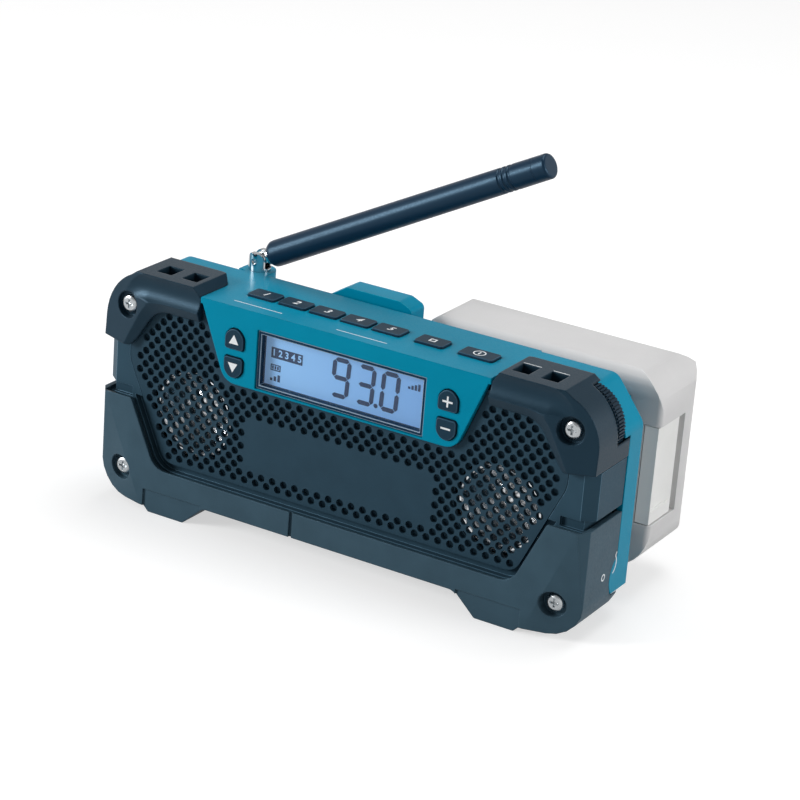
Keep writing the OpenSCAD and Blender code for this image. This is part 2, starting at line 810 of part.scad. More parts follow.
module right_cap() {
    color("#27343e") cap(1)
        rod(wheel_x, wheel_z, wheel_front - play, split_d, wheel_d + 2 * play + 0.6);
}

// Window of the bumper, grown by a margin
function window_path(grow) = inset(mirrored([
    [rail_end, rail_top, 7],
    [half_w - arm_w, arm_top, 0],
    [half_w - arm_w, arm_top + 4, 0]]), -grow);

module lower_bumper() {
    color("#2f3e49") difference() {
        union() {
            difference() {
                slab(0, split_d - seam) polygon(rounded(bumper_path));
                slab(face_inset, split_d) polygon(rounded(inset(housing_path, -seam)));
            }
            for (side = [-1, 1]) rod(side * screw_x, screw_low, face_inset - 1, well_back, cup_d);
            // Lower corners reach back under the shell
            for (side = [-1, 1]) on_side(side) intersection() {
                slab(split_d - 1, toe_back) difference() {
                    polygon(rounded(bumper_path));
                    polygon(rounded(inset(shell_path, -seam)));
                    square_between(-half_w, -1, half_w - toe_w, body_h);
                }
                bar(0, half_w) polygon(rounded([[0, bumper_foot, 0],
                    [toe_back, bumper_foot, toe_top - bumper_foot - 0.5],
                    [toe_back, toe_top, 0], [0, toe_top, 0]]));
            }
        }
        // Front corners slope back outside a crease and are bevelled above
        for (side = [-1, 1]) on_side(side) {
            translate([crease_x, 0, arm_top])
                rotate([0, atan2(crease_run, arm_top - bumper_foot), 0])
                rotate([0, 0, corner_slope]) translate([0, -body_d, -body_h])
                    cube([body_d, body_d, body_h + 5]);
            translate([crease_x, 0, -1]) rotate([0, 0, atan2(corner_bevel, half_w - crease_x)])
                translate([0, -body_d, 0]) cube([body_d, body_d, body_h]);
            // Tops of the arms fall away behind their front edge
            translate([half_w - arm_w - 8, edge_t, arm_top]) rotate([-24, 0, 0])
                cube([arm_w + 8 - side_inset, face_inset, 4]);
            // Step above a foot
            block([foot_x - foot_w, -1, -1], [foot_x + foot_w / 2 + 2, foot_step_t, foot_step]);
        }
        // Inner edge is thin at the front
        hull() {
            slab(edge_t, edge_t + 0.1) polygon(rounded(window_path(0)));
            slab(face_inset, face_inset + 0.1) polygon(rounded(window_path(grille_gap)));
        }
        // Groove beside the middle tab
        block([-tab_w / 2 - 1.2, -1, ground_gap - 2], [-tab_w / 2, 0.8, rail_top + 1]);
        // Rear corners make room for the shell's ears
        for (side = [-1, 1]) on_side(side) {
            ear(seam);
            rod(screw_x, screw_low, -1, well_y, well_d);
            rod(screw_x, screw_low, -1, well_back + 1, screw_d + 2 * play);
        }
    }
}

// Dock and battery ------------------------------------------------------------

module dock_frame() {
    color("#0b7e96") difference() {
        union() {
            // Back plate on the shell's rear wall
            block([block_left, body_d, plinth_top - 0.1], [rail_right, dock_y, rail_mid + head_half + 4]);
            // C-shaped rails above and below the battery's head
            for (up = [-1, 1]) {
                web = rail_mid + up * (head_half + play + web_t / 2);
                lip = rail_mid + up * (head_half + play + web_t - (web_t + lip_over) / 2);
                block([block_right, body_d, web - web_t / 2], [rail_right, rail_back, web + web_t / 2]);
                block([block_right, lip_y, lip - (web_t + lip_over) / 2],
                    [rail_right, rail_back, lip + (web_t + lip_over) / 2]);
            }
            // Plinth with the two rear feet
            block([-foot_x - foot_w / 2 - 2, body_d, ground_gap + 1],
                [rail_right, rail_back, plinth_top]);
            for (side = [-1, 1]) bar(side * foot_x - foot_w / 2, side * foot_x + foot_w / 2)
                polygon([[body_d, 1], [body_d + 1, 0], [rail_back - 1, 0], [rail_back, 1],
                    [rail_back, ground_gap + 1], [body_d, ground_gap + 1]]);
        }
        for (p = rear_spots) rod(p[0], p[1], body_d - 1, dock_y + 1, screw_head_d + 1);
        lead_holes(body_d - 1, dock_y + 1);
    }
}

module dock_block() {
    top = deck_z + block_rise;
    color("#0c849c") difference() {
        slab(dock_y, rail_back) polygon(rounded([
            [block_left, plinth_top + seam, 1], [block_right - seam, plinth_top + seam, 1],
            [block_right - seam, top - 2, 2], [block_right - 5, top, 3], [block_left + 8, top, 2],
            [block_left, top - 5, 2]]));
        blades(0);
        lead_holes(dock_y - 1, blade_y);
    }
}

module blades(gap) {
    for (i = [0:blade_n - 1])
        block([blade_in - gap, blade_y - gap, blade_z(i) - blade_h / 2 - gap],
            [blade_out + gap, blade_y + blade_t + gap, blade_z(i) + blade_h / 2 + gap]);
}

function blade_z(i) = rail_mid + (i - (blade_n - 1) / 2) * blade_gap;

module dock_terminals() {
    color("#c9a24a") blades(0);
}

module battery_form(grow) {
    y0 = battery_y - grow;
    y1 = overall_d + grow;
    z0 = battery_z - grow;
    z1 = battery_top + grow;
    x0 = battery_left - grow;
    x1 = battery_right + grow;
    f = battery_front_r;
    r = battery_rear_r;
    e = battery_left_r;
    intersection() {
        bar(x0, x1) polygon(rounded([[y0, z0, f], [y1, z0, r], [y1, z1, r], [y0, z1, f]], 8));
        slab(y0, y1) polygon(rounded([[x0, z0, e], [x1, z0, r + 1], [x1, z1, r], [x0, z1, e]], 8));
        translate([0, 0, z0]) linear_extrude(z1 - z0)
            polygon(rounded([[x0, y0, f], [x1, y0, 2], [x1, y1, r], [x0, y1, e]], 8));
    }
}

ribs = [cell_x0 + rib_in, cell_x0 + bay_l - rib_in - rib_t];

module battery_case() {
    color("#d6d0cd") difference() {
        battery_form(0);
        // Room for the cells, crossed by two ribs that carry them
        intersection() {
            battery_form(-wall);
            difference() {
                block([cell_x0, battery_y, battery_z], [cell_x0 + bay_l, overall_d, battery_top]);
                for (x = ribs) difference() {
                    block([x, battery_y - 1, 0], [x + rib_t, overall_d + 1, body_h]);
                    for (i = [-1:1]) translate([x - 1, cells_y, cell_row(i)])
                        rotate([0, 90, 0]) cylinder(h = rib_t + 2, d = cell_d + 2 * play);
                }
            }
        }
        // Way for the wires between the cells and the head
        block([ribs[0] + rib_t + 3, battery_y - 1, rail_mid - 10],
            [ribs[1] - 3, battery_y + wall + 1, rail_mid + 10]);
        // Recess of the latch button
        block([battery_right - latch_in - play, battery_y - 1, latch_low - play],
            [battery_right + 1, battery_y + latch_d + latch_room, latch_high + play]);
        block([battery_right - latch_in - play, battery_y, latch_low - play],
            [latch_tail_x + play, battery_y + latch_d + latch_tail + latch_room, latch_high + play]);
    }
}

function cell_row(i) = battery_z + battery_h / 2 + i * (cell_d + cell_gap);

module battery_head() {
    half = head_half;
    neck = head_half - lip_over - play;
    color("#cbc5c2") difference() {
        union() {
            slab(head_y, neck_y) polygon(rounded([
                [block_right + play + 0.2, rail_mid - half, 1], [battery_right - latch_in - 1, rail_mid - half, 3],
                [battery_right - latch_in - 1, rail_mid + half, 3], [block_right + play + 0.2, rail_mid + half, 1]]));
            slab(neck_y, battery_y) square_between(battery_left + 6, rail_mid - neck,
                battery_right - latch_in - 1, rail_mid + neck);
        }
        blades(play);
    }
}

module square_between(x0, z0, x1, z1) {
    translate([x0, z0]) square([x1 - x0, z1 - z0]);
}

module battery_cells() {
    color("#4d7f5c") for (i = [-1:1]) translate([cell_start, cells_y, cell_row(i)])
        rotate([0, 90, 0]) difference() {
            union() {
                cylinder(h = cell_l - 1, d = cell_d);
                cylinder(h = cell_l, d = 6);
            }
            translate([0, 0, cell_l - 3]) difference() {
                cylinder(h = 1, d = cell_d + 1);
                cylinder(h = 1, d = cell_d - 1);
            }
        }
}

module battery_contacts() {
    // Nickel straps that join the cells in a row
    color("#b9bcc0") for (k = [0, 1]) {
        x = k == 0 ? cell_x0 + play : cell_start + cell_l;
        block([x, cells_y - 4, cell_row(k - 1) - 4], [x + strap_t, cells_y + 4, cell_row(k) + 4]);
    }
}

module latch_button() {
    color("#e9e7e4") difference() {
        union() {
            block([battery_right - latch_in, battery_y + 0.2, latch_low],
                [battery_right - 0.6, battery_y + latch_d, latch_high]);
            // Tail that closes the gap at the end of the button's travel
            block([battery_right - latch_in, battery_y + 0.2, latch_low],
                [latch_tail_x, battery_y + latch_d + latch_tail, latch_high]);
        }
        // Finger hollow
        translate([battery_right + 26.4, battery_y + latch_d / 2, latch_mid])
            cylinder(h = latch_h - 9, d = 56, center = true, $fn = 96);
    }
}

module latch_spring() {
    // Closed coil between the button and the bottom of its recess
    free = latch_travel + 0.4;
    turns = 4;
    pitch = free / turns;
    color("#c4c8cc")
        translate([battery_right - 4, battery_y + latch_d + latch_tail + 0.1, latch_mid])
        rotate([-90, 0, 0]) rotate_extrude() polygon(concat(
            [for (k = [0:turns - 1], q = [0, 0.5]) [1 + 0.8 * q, (k + q) * pitch]],
            [[1, free], [0.6, free]],
            [for (k = [turns - 1:-1:0], q = [0.5, 0]) [0.6 + 0.8 * q, (k + q) * pitch]]));
}

// Display ---------------------------------------------------------------------

module lcd_bezel() {
    color("#1c3f55") slab(console_y + 0.5, console_in_y + 1.6) difference() {
        square_at(0, lcd_z, lcd_w + 2 * bezel_w - 2 * seam, lcd_h + 2 * bezel_w - 2 * seam);
        square_at(0, lcd_z, lcd_w, lcd_h);
    }
}

module lcd_lens() {
    color("#bcd3ee") slab(console_in_y - 0.4, console_in_y - 0.4 + lens_t)
        square_at(0, lcd_z, lcd_w - 0.1, lcd_h - 0.1);
}

module lcd_module() {
    color("#9fb9dc") slab(console_in_y + 1.6 + 0.1, console_in_y + 1.7 + 2)
        square_at(0, lcd_z - 0.4, lcd_w + 2 * bezel_w - 0.8, lcd_h + 1.6);
}

module lcd_backlight() {
    color("#e8eef2") slab(console_in_y + 3.7, front_board_y)
        square_at(0, lcd_z - 0.4, lcd_w, lcd_h);
}

// Keys ------------------------------------------------------------------------

function upper_key_path() = [
    [-side_key_w / 2, 0, 0.9], [side_key_w / 2, 0, 0.9],
    [side_key_w / 2, side_key_h * 0.55, 3], [0, side_key_h * 1.12, 3.2],
    [-side_key_w / 2, side_key_h * 0.55, 3]];

function lower_key_path() = [for (p = [4:-1:0]) let (q = upper_key_path()[p])
    [q[0], side_key_h - q[1], q[2]]];

function top_key_path(w) = [
    [-w / 2, -top_key_d / 2, 0.8], [w / 2, -top_key_d / 2, 0.8],
    [w / 2, top_key_d / 2, 0.8], [-w / 2, top_key_d / 2, 0.8]];

// Cap, retaining flange and stem, pointing up from the moulding's outer face
module key(outline, mid) {
    under = -wall - play / 2;
    translate([0, 0, under]) linear_extrude(key_proud - under) polygon(rounded(outline));
    translate([0, 0, under - flange_t]) linear_extrude(flange_t)
        polygon(rounded(inset(outline, -flange)));
    translate([0, mid, -key_depth]) cylinder(h = stem_l, d = 3);
}

module front_key(side, upper) {
    color("#2c3440") on_front(side * side_key_x, upper ? side_key_high : side_key_low)
        key(upper ? upper_key_path() : lower_key_path(), side_key_h / 2);
}

module top_key(x, w) {
    color("#343a48") on_deck(x) key(top_key_path(w), 0);
}

module tact_switch() {
    translate([-2.2, -2.2, 0]) cube([4.4, 4.4, switch_h - 0.6]);
    cylinder(h = switch_h, d = 2.2);
}

module key_switches() {
    color("#6d7276") {
        for (x = key_spots_top) translate([x, top_key_y, deck_z - board_drop]) tact_switch();
        for (side = [-1, 1], z = [side_key_low, side_key_high])
            translate([side * side_key_x, front_board_y, z + side_key_h / 2])
                rotate([90, 0, 0]) tact_switch();
    }
}

module front_key_board() {
    edge = side_key_x + side_key_w / 2 + 0.3;
    color("#2f6b3a") slab(front_board_y, front_board_y + board_t)
        square_between(-edge, console_low + wall, edge, deck_z - wall);
}

module top_key_board() {
    left = preset_x - preset_w / 2 - 1;
    right = power_x + power_w / 2 + 1;
    color("#2f6b3a") difference() {
        block([left, front_board_y + board_t, deck_z - board_drop - board_t],
            [right, stake_y + 2.2, deck_z - board_drop]);
        for (x = stake_spots) translate([x, stake_y, deck_z - board_drop - board_t - 1])
            cylinder(h = board_t + 2, d = 1.8 + 2 * seam);
    }
}

// Electronics -----------------------------------------------------------------

module main_board() {
    color("#2a6435") difference() {
        slab(board_y, board_back) polygon([
            [-half_w + 20, ground_gap + 8], [half_w - 24, ground_gap + 8],
            [half_w - 24, wheel_z - 12], [half_w - 7, wheel_z - 8],
            [half_w - 7, wheel_z + 2], [half_w - 12, wheel_z + 8],
            [half_w - 36, wheel_z + 8], [half_w - 40, board_top], [-half_w + 20, board_top]]);
        for (p = rear_spots) rod(p[0], p[1], 0, body_d, boss_d + 1);
        for (p = board_spots) rod(p[0], p[1], 0, body_d, board_screw_d + seam);
    }
}

// A flat part of the given size on the main board, from its lower left corner
module on_board(corner, size) {
    translate([corner[0], board_y - size[2], corner[1]]) cube([size[0], size[2], size[1]]);
}

module tuner_can() {
    color("#b4b8bc") on_board(can_at, can_size);
}

module board_chips() {
    color("#23262a") {
        on_board(chip_at, chip_size);
        on_board(small_chip_at, small_chip);
        for (x = coil_spots) rod(x, small_chip_at[1], board_y - coil_h, board_y, coil_d);
    }
}

module speaker_frame() {
    front = baffle_back;
    rotate([-90, 0, 0]) rotate_extrude() polygon([
        [cone_r + 0.9, front], [speaker_d / 2, front], [speaker_d / 2, front + 1.2],
        [speaker_d / 2 - 2.4, front + 1.2], [magnet_d / 2 + 2.2, front + basket_d],
        [4, front + basket_d], [4, front + basket_d - 0.8],
        [magnet_d / 2 + 0.4, front + basket_d - 0.8]]);
}

module speaker_cone() {
    front = baffle_back + 0.3;
    rim = cone_r;
    rotate([-90, 0, 0]) rotate_extrude() polygon(concat(
        // Rolled surround, cone and domed cap, front side
        [for (a = [0:30:180]) [rim - 1.2 + 1.2 * cos(a), front - 0.9 * sin(a)]],
        [[rim - 2.6, front], [6.4, front + 5], [4.6, front + 4.2], [0, front + 3.4]],
        // The same, rear side
        [[0, front + 4], [4.2, front + 4.9], [5.6, front + basket_d - 1.4], [7, front + 5.6],
         [rim - 2.2, front + 0.6], [rim, front + 0.6]]));
}

module speaker_magnet() {
    back = baffle_back + basket_d;
    rotate([-90, 0, 0]) {
        translate([0, 0, back]) cylinder(h = magnet_h - 1, d = magnet_d);
        translate([0, 0, back + magnet_h - 1]) cylinder(h = 1, d = magnet_d - 3);
    }
}

module at_speaker(side) {
    translate([side * speaker_x, 0, speaker_z]) children();
}

module speaker_wires() {
    // Two leads a speaker, straight from the basket's rear edge to the main board
    color("#b03a32") for (side = [-1, 1], k = [-1, 1])
        rod(side * speaker_x + k * 2.5, speaker_z + magnet_d / 2 + 0.9,
            baffle_back + basket_d, board_y, 1.1);
}

module ribbon_cable() {
    color("#d8d4c4") {
        upper = deck_z - board_drop - board_t - 8;
        lower = board_top - 4;
        near = board_y - 2;
        block([-ribbon_half, front_board_y + board_t, upper],
            [ribbon_half, near, upper + ribbon_t]);
        block([-ribbon_half, near - ribbon_t, lower], [ribbon_half, near, upper + ribbon_t]);
        block([-ribbon_half, near - ribbon_t, lower], [ribbon_half, board_y, lower + ribbon_t]);
    }
}

module tuning_wheel() {
    ribs = 72;
    color("#2a3640") translate([wheel_x, wheel_back, wheel_z]) rotate([90, 0, 0]) difference() {
        union() {
            cylinder(h = wheel_t, d = wheel_d - 1, $fn = 96);
            for (k = [0:ribs - 1]) rotate(k * 360 / ribs)
                translate([wheel_d / 2 - 0.8, -0.3, 0.4]) cube([0.8, 0.6, wheel_t - 0.8]);
        }
        translate([0, 0, -1]) cylinder(h = wheel_t + 2, d = encoder_shaft_d);
    }
}

module tuning_encoder() {
    color("#8d9196") difference() {
        slab(encoder_y, board_y) square_at(wheel_x, wheel_z, encoder_a, encoder_a);
        rod(wheel_x, wheel_z, encoder_y - 1, board_y - 2, encoder_shaft_d + 2 * pin_fit);
    }
}

module encoder_shaft() {
    color("#b7bbbf") rod(wheel_x, wheel_z, wheel_front, board_y - 2 - play, encoder_shaft_d);
}

// Antenna ---------------------------------------------------------------------

module antenna_frame() {
    translate([-antenna_x, antenna_y, pin_z]) rotate([0, -antenna_tilt, 0]) children();
}

module antenna_socket() {
    color("#9aa0a6") translate([-antenna_x, antenna_y, lug_low]) difference() {
        union() {
            cylinder(h = lug_h, d = post_d + 3);
            // Tag that reaches through the wall to the lead
            block([-tag_w / 2, board_y - antenna_y, 0], [tag_w / 2, 0, tag_t]);
        }
        translate([0, 0, -1]) cylinder(h = lug_h + 2, d = post_d + 2 * pin_fit);
    }
}

module antenna_knuckle() {
    color("#c9ccd0") translate([-antenna_x, antenna_y, 0]) difference() {
        union() {
            translate([0, 0, lug_low]) cylinder(h = lug_h + 1, d = post_d);
            translate([0, 0, deck_z + pin_fit]) cylinder(h = 1.2, d = knuckle_d);
            intersection() {
                translate([0, 0, deck_z + 1]) cylinder(h = antenna_pin_h + 1.6, d = knuckle_d);
                translate([0, 10, pin_z]) rotate([90, 0, 0]) union() {
                    cylinder(h = 20, d = 6);
                    translate([-3, -antenna_pin_h, 0]) cube([6, antenna_pin_h, 20]);
                }
            }
        }
        block([-10, -ear_gap / 2, deck_z + 1], [10, ear_gap / 2, pin_z + 10]);
        translate([0, 10, pin_z]) rotate([90, 0, 0]) cylinder(h = 20, d = tilt_pin_d);
    }
}

module antenna_pin() {
    color("#aeb3b8") translate([-antenna_x, antenna_y + knuckle_d / 2 - 0.6, pin_z])
        rotate([90, 0, 0]) cylinder(h = knuckle_d - 1.2, d = tilt_pin_d);
}

module antenna_tongue() {
    color("#c9ccd0") antenna_frame() difference() {
        union() {
            translate([0, tongue_t / 2, 0]) rotate([90, 0, 0]) cylinder(h = tongue_t, d = 4.6);
            block([0, -tongue_t / 2, -2], [sleeve_start, tongue_t / 2, 2]);
            translate([sleeve_start - 1, 0, 0]) rotate([0, 90, 0]) cylinder(h = 1, d = 6);
        }
        translate([0, 5, 0]) rotate([90, 0, 0]) cylinder(h = 10, d = tilt_pin_d + 2 * pin_fit);
    }
}

module antenna_core() {
    color("#b0a060") antenna_frame() translate([sleeve_start, 0, 0]) rotate([0, 90, 0])
        cylinder(h = antenna_len - sleeve_start - tip_l, d = core_d);
}

module antenna_sleeve() {
    l = antenna_len - sleeve_start - tip_l;
    r0 = sleeve_d / 2;
    r1 = sleeve_tip_d / 2;
    ring_s = l - 13;
    color("#141c26") antenna_frame() translate([sleeve_start, 0, 0]) rotate([0, 90, 0])
        rotate_extrude() polygon(concat(
            [[core_d / 2, 0], [r0 - 1.6, 0], [r0 - 0.6, 0.5], [r0 - 0.1, 1.4], [r0, 2.4]],
            [for (k = [0:2], p = [[0, 0], [0.3, 0.4], [0.9, 0.4], [1.2, 0]])
                [r1 + 0.05 - p[1], ring_s + k * 1.9 + p[0]]],
            [[r1, l], [core_d / 2, l]]));
}

module antenna_tip() {
    r = sleeve_tip_d / 2;
    color("#1b2430") antenna_frame() translate([antenna_len - tip_l, 0, 0]) rotate([0, 90, 0])
        rotate_extrude() polygon([[0, 0], [r, 0], [r, tip_l - 0.8], [r - 0.3, tip_l - 0.3],
            [r - 0.9, tip_l], [0, tip_l]]);
}

module antenna_lead() {
    // From the socket's tag down to the edge of the main board
    color("#222222") translate([-antenna_x, board_y + board_t / 2, board_top])
        cylinder(h = lug_low - board_top, d = 1);
}

// Fasteners and sockets -------------------------------------------------------

// Pan-head screw along +Y, with its head's top at the origin
module screw(head_d, d, l) {
    rotate([-90, 0, 0]) difference() {
        union() {
            rotate_extrude() polygon([[0, 0], [head_d / 2 - 0.9, 0], [head_d / 2 - 0.3, 0.35],
                [head_d / 2, 0.9], [head_d / 2, head_h], [0, head_h]]);
            translate([0, 0, head_h]) cylinder(h = l, d = d);
        }
        for (a = [0, 90]) rotate(a) translate([-0.35, -1.5, -1]) cube([0.7, 3, 2]);
    }
}

module front_screws() {
    color("#d5d8da") for (side = [-1, 1], z = [screw_low, screw_high])
        translate([side * screw_x, well_y - head_h, z]) screw(screw_head_d, screw_d - 0.4, screw_l);
}

module rear_screws() {
    color("#b9bdc0") for (p = rear_spots) translate([p[0], body_d + head_h, p[1]])
        rotate(180) screw(screw_head_d, screw_d - 0.4, screw_l);
}

module board_screws() {
    color("#b9bdc0") for (p = board_spots) translate([p[0], board_y - head_h, p[1]])
        screw(4.6, board_screw_d, rear_in - board_y - 0.4);
}

module earphone_jack() {
    color("#202326") translate([jack_x, jack_y, ground_gap]) difference() {
        union() {
            cylinder(h = 5, d = 6);
            translate([-jack_body[0] / 2, -jack_body[1] / 2, 4.2])
                cube([jack_body[0], jack_body[1], jack_l - 4.2]);
        }
        translate([0, 0, -1]) cylinder(h = jack_l - 0.5, d = jack_d);
    }
}

module battery_leads() {
    color("#b03a32") for (i = [0, blade_n - 1])
        rod(lead_x, blade_z(i), board_back, blade_y, lead_d);
}

// Assembly --------------------------------------------------------------------

placed() body_shell();
placed() front_housing();
placed() front_grille();
placed() left_cap();
placed() right_cap();
placed() lower_bumper();
placed() dock_frame();
placed() dock_block();
placed() dock_terminals();
placed() lcd_bezel();
placed() lcd_lens();
placed() lcd_module();
placed() lcd_backlight();
placed() front_key(-1, true);  // up_key
placed() front_key(-1, false);  // down_key
placed() front_key(1, true);  // plus_key
placed() front_key(1, false);  // minus_key
placed() top_key(key_spots_top[0], preset_w);  // preset_key_1
placed() top_key(key_spots_top[1], preset_w);  // preset_key_2
placed() top_key(key_spots_top[2], preset_w);  // preset_key_3
placed() top_key(key_spots_top[3], preset_w);  // preset_key_4
placed() top_key(key_spots_top[4], preset_w);  // preset_key_5
placed() top_key(band_x, band_w);  // band_key
placed() top_key(power_x, power_w);  // power_key
placed() key_switches();
placed() front_key_board();
placed() top_key_board();
placed() main_board();
placed() tuner_can();
placed() board_chips();
placed() color("#3a3d40") at_speaker(-1) speaker_frame();  // left_speaker_frame
placed() color("#3a3d40") at_speaker(1) speaker_frame();  // right_speaker_frame
placed() color("#c8ccd0") at_speaker(-1) speaker_cone();  // left_speaker_cone
placed() color("#c8ccd0") at_speaker(1) speaker_cone();  // right_speaker_cone
placed() color("#55595c") at_speaker(-1) speaker_magnet();  // left_speaker_magnet
placed() color("#55595c") at_speaker(1) speaker_magnet();  // right_speaker_magnet
placed() speaker_wires();
placed() ribbon_cable();
placed() tuning_wheel();
placed() encoder_shaft();
placed() tuning_encoder();
placed() antenna_socket();
placed() antenna_knuckle();
placed() antenna_pin();
placed() antenna_tongue();
placed() antenna_core();
placed() antenna_sleeve();
placed() antenna_tip();
placed() antenna_lead();
placed() front_screws();
placed() rear_screws();
placed() board_screws();
placed() earphone_jack();
placed() battery_case();
placed() battery_head();
placed() battery_cells();
placed() battery_contacts();
placed() latch_button();
placed() latch_spring();
placed() battery_leads();
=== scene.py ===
import json
from math import cos, radians, sin

import bmesh
import bpy
from mathutils import Matrix, Vector


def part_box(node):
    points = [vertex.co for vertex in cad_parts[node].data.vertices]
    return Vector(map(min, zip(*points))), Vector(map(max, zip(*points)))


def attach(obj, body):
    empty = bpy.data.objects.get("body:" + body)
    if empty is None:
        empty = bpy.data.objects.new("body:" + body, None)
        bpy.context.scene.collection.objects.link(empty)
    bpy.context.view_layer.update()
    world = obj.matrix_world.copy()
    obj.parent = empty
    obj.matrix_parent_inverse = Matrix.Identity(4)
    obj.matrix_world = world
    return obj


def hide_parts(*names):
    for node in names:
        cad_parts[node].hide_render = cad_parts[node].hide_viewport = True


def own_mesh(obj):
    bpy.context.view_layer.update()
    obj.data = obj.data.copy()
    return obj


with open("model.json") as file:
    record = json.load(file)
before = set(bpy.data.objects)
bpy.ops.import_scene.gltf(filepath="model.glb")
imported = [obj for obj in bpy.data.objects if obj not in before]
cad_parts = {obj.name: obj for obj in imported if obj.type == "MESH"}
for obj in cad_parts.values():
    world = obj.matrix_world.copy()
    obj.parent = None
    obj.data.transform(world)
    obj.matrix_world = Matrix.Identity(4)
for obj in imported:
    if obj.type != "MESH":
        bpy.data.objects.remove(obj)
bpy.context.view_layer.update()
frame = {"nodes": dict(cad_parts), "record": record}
scene = bpy.context.scene

# ---------------------------------------------------------------- teal shell
# Console, deck, sides and back of the radio are one injection moulding in
# solvent-proof ABS, pigmented teal, with fine spark-eroded grain. The tool's
# edges leave small radii, which carry bright lines of light; the radii are
# also painted lighter, as a painted highlight.


def linear(colour):
    """sRGB hex to the linear RGBA that Blender's sockets take."""
    parts = [int(colour[i:i + 2], 16) / 255 for i in (1, 3, 5)]
    return [c / 12.92 if c <= 0.04045 else ((c + 0.055) / 1.055) ** 2.4 for c in parts] + [1]


def add(tree, kind, links=None, **settings):
    """One node, with its settings, and its inputs as values or linked sockets."""
    made = tree.nodes.new(kind)
    for name, value in settings.items():
        setattr(made, name, value)
    for name, value in (links or {}).items():
        if isinstance(value, bpy.types.NodeSocket):
            tree.links.new(value, made.inputs[name])
        else:
            made.inputs[name].default_value = value
    return made


def new_material(name):
    made = bpy.data.materials.new(name)
    made.use_nodes = True
    made.node_tree.nodes.clear()
    return made, made.node_tree


def moulded_plastic(name, colour, roughness, grain_mm=0.5, relief_mm=0.012,
                    mottle=0.06, level=0.2, tint="#a9dcff", radius_mm=0):
    """Injection-moulded plastic: pigment that clouds slightly, eroded grain, soft gloss."""
    # Clouds of pigment are about 9 mm wide. Real eroded grain is some 0.05 mm, and is drawn
    # about ten times as coarse, at grain_mm, so that it shows
    clouds_per_m, darkest = 110, 0.72
    made, tree = new_material(name)
    place = add(tree, "ShaderNodeTexCoord").outputs["Object"]
    cloud = add(tree, "ShaderNodeTexNoise", {"Vector": place, "Scale": clouds_per_m, "Detail": 3})
    grain = add(tree, "ShaderNodeTexNoise", {"Vector": place, "Scale": 1000 / grain_mm,
                                             "Detail": 2, "Roughness": 0.6})
    base = linear(colour)
    low = [c * darkest for c in base[:3]] + [1]
    blend = add(tree, "ShaderNodeMapRange", {"Value": cloud.outputs["Fac"], "From Min": 0.3,
                                             "From Max": 0.7, "To Min": 0, "To Max": mottle * 4})
    mix = add(tree, "ShaderNodeMix", {"Factor": blend.outputs["Result"], "A": base, "B": low},
              data_type="RGBA")
    gloss = add(tree, "ShaderNodeMapRange", {"Value": grain.outputs["Fac"],
                                             "From Min": 0.3, "From Max": 0.7,
                                             "To Min": roughness - 0.05,
                                             "To Max": roughness + 0.07})
    bump = add(tree, "ShaderNodeBump", {"Height": grain.outputs["Fac"], "Strength": 0.6,
                                        "Distance": relief_mm / 1000})
    if radius_mm:
        rounded = add(tree, "ShaderNodeBevel", {"Radius": radius_mm / 1000}, samples=4)
        tree.links.new(rounded.outputs["Normal"], bump.inputs["Normal"])
    shader = add(tree, "ShaderNodeBsdfPrincipled", {
        "Base Color": mix.outputs["Result"], "Roughness": gloss.outputs["Result"],
        "IOR": 1.5, "Specular IOR Level": level, "Specular Tint": linear(tint),
        "Normal": bump.outputs["Normal"]})
    add(tree, "ShaderNodeOutputMaterial", {"Surface": shader.outputs["BSDF"]})
    return made


def link_object(mesh, name):
    made = bpy.data.objects.new(name, mesh)
    scene.collection.objects.link(made)
    return made


BODY_OF = {node: body for body, nodes in frame["record"]["behaviour"]["bodies"].items()
           for node in nodes}


def softened(node, edge_mm, material, name, segments=3, least=28, edge=None):
    """A merged copy of a CAD node with its moulded edge radii, in the node's place."""
    weld_m, flat_degrees = 2e-6, 0.6
    mesh = frame["nodes"][node].data.copy()
    bm = bmesh.new()
    bm.from_mesh(mesh)
    bmesh.ops.remove_doubles(bm, verts=bm.verts, dist=weld_m)
    bmesh.ops.dissolve_limit(bm, angle_limit=radians(flat_degrees), verts=bm.verts,
                             edges=bm.edges)
    for face in bm.faces:
        face.smooth = True
        face.material_index = 0
    bm.to_mesh(mesh)
    bm.free()
    if "custom_normal" in mesh.attributes:
        mesh.attributes.remove(mesh.attributes["custom_normal"])
    mesh.materials.clear()
    mesh.materials.append(material)
    made = link_object(mesh, name)
    bevel = made.modifiers.new("radius", "BEVEL")
    bevel.width = edge_mm / 1000
    bevel.segments = segments
    bevel.limit_method = "ANGLE"
    bevel.angle_limit = radians(least)
    bevel.use_clamp_overlap = True
    if edge:
        # The tool is polished along its edges, so they come out glossier; their lighter colour is
        # a painted highlight
        mesh.materials.append(edge)
        bevel.material = 1
    flats = made.modifiers.new("flats", "WEIGHTED_NORMAL")
    flats.keep_sharp = True
    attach(made, BODY_OF[node])
    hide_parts(node)
    return made


# ABS takes its pigment evenly, so the colour is deep and clean, and the fine grain
# spreads the light to a wide, soft sheen
teal_abs = moulded_plastic("teal ABS, moulded", "#0088a8", 0.36, 0.5, 0.006, 0.05, tint="#55d8ff",
                           radius_mm=0.6)
# The edge copy is painted lighter than the teal, a painted highlight along the radii
teal_painted_edge = moulded_plastic("teal ABS, polished edge with painted highlight", "#2fb4cf", 0.24, 0.5, 0.004, 0.03, 0.4)
softened("body_shell", 0.4, teal_abs, "shell", edge=teal_painted_edge)

# ---------------------------------------------------------------- front housing and grille
# A slate moulding that carries the speakers, and a perforated panel let into
# its face. Both are glass-filled plastic with a fine sandy grain.

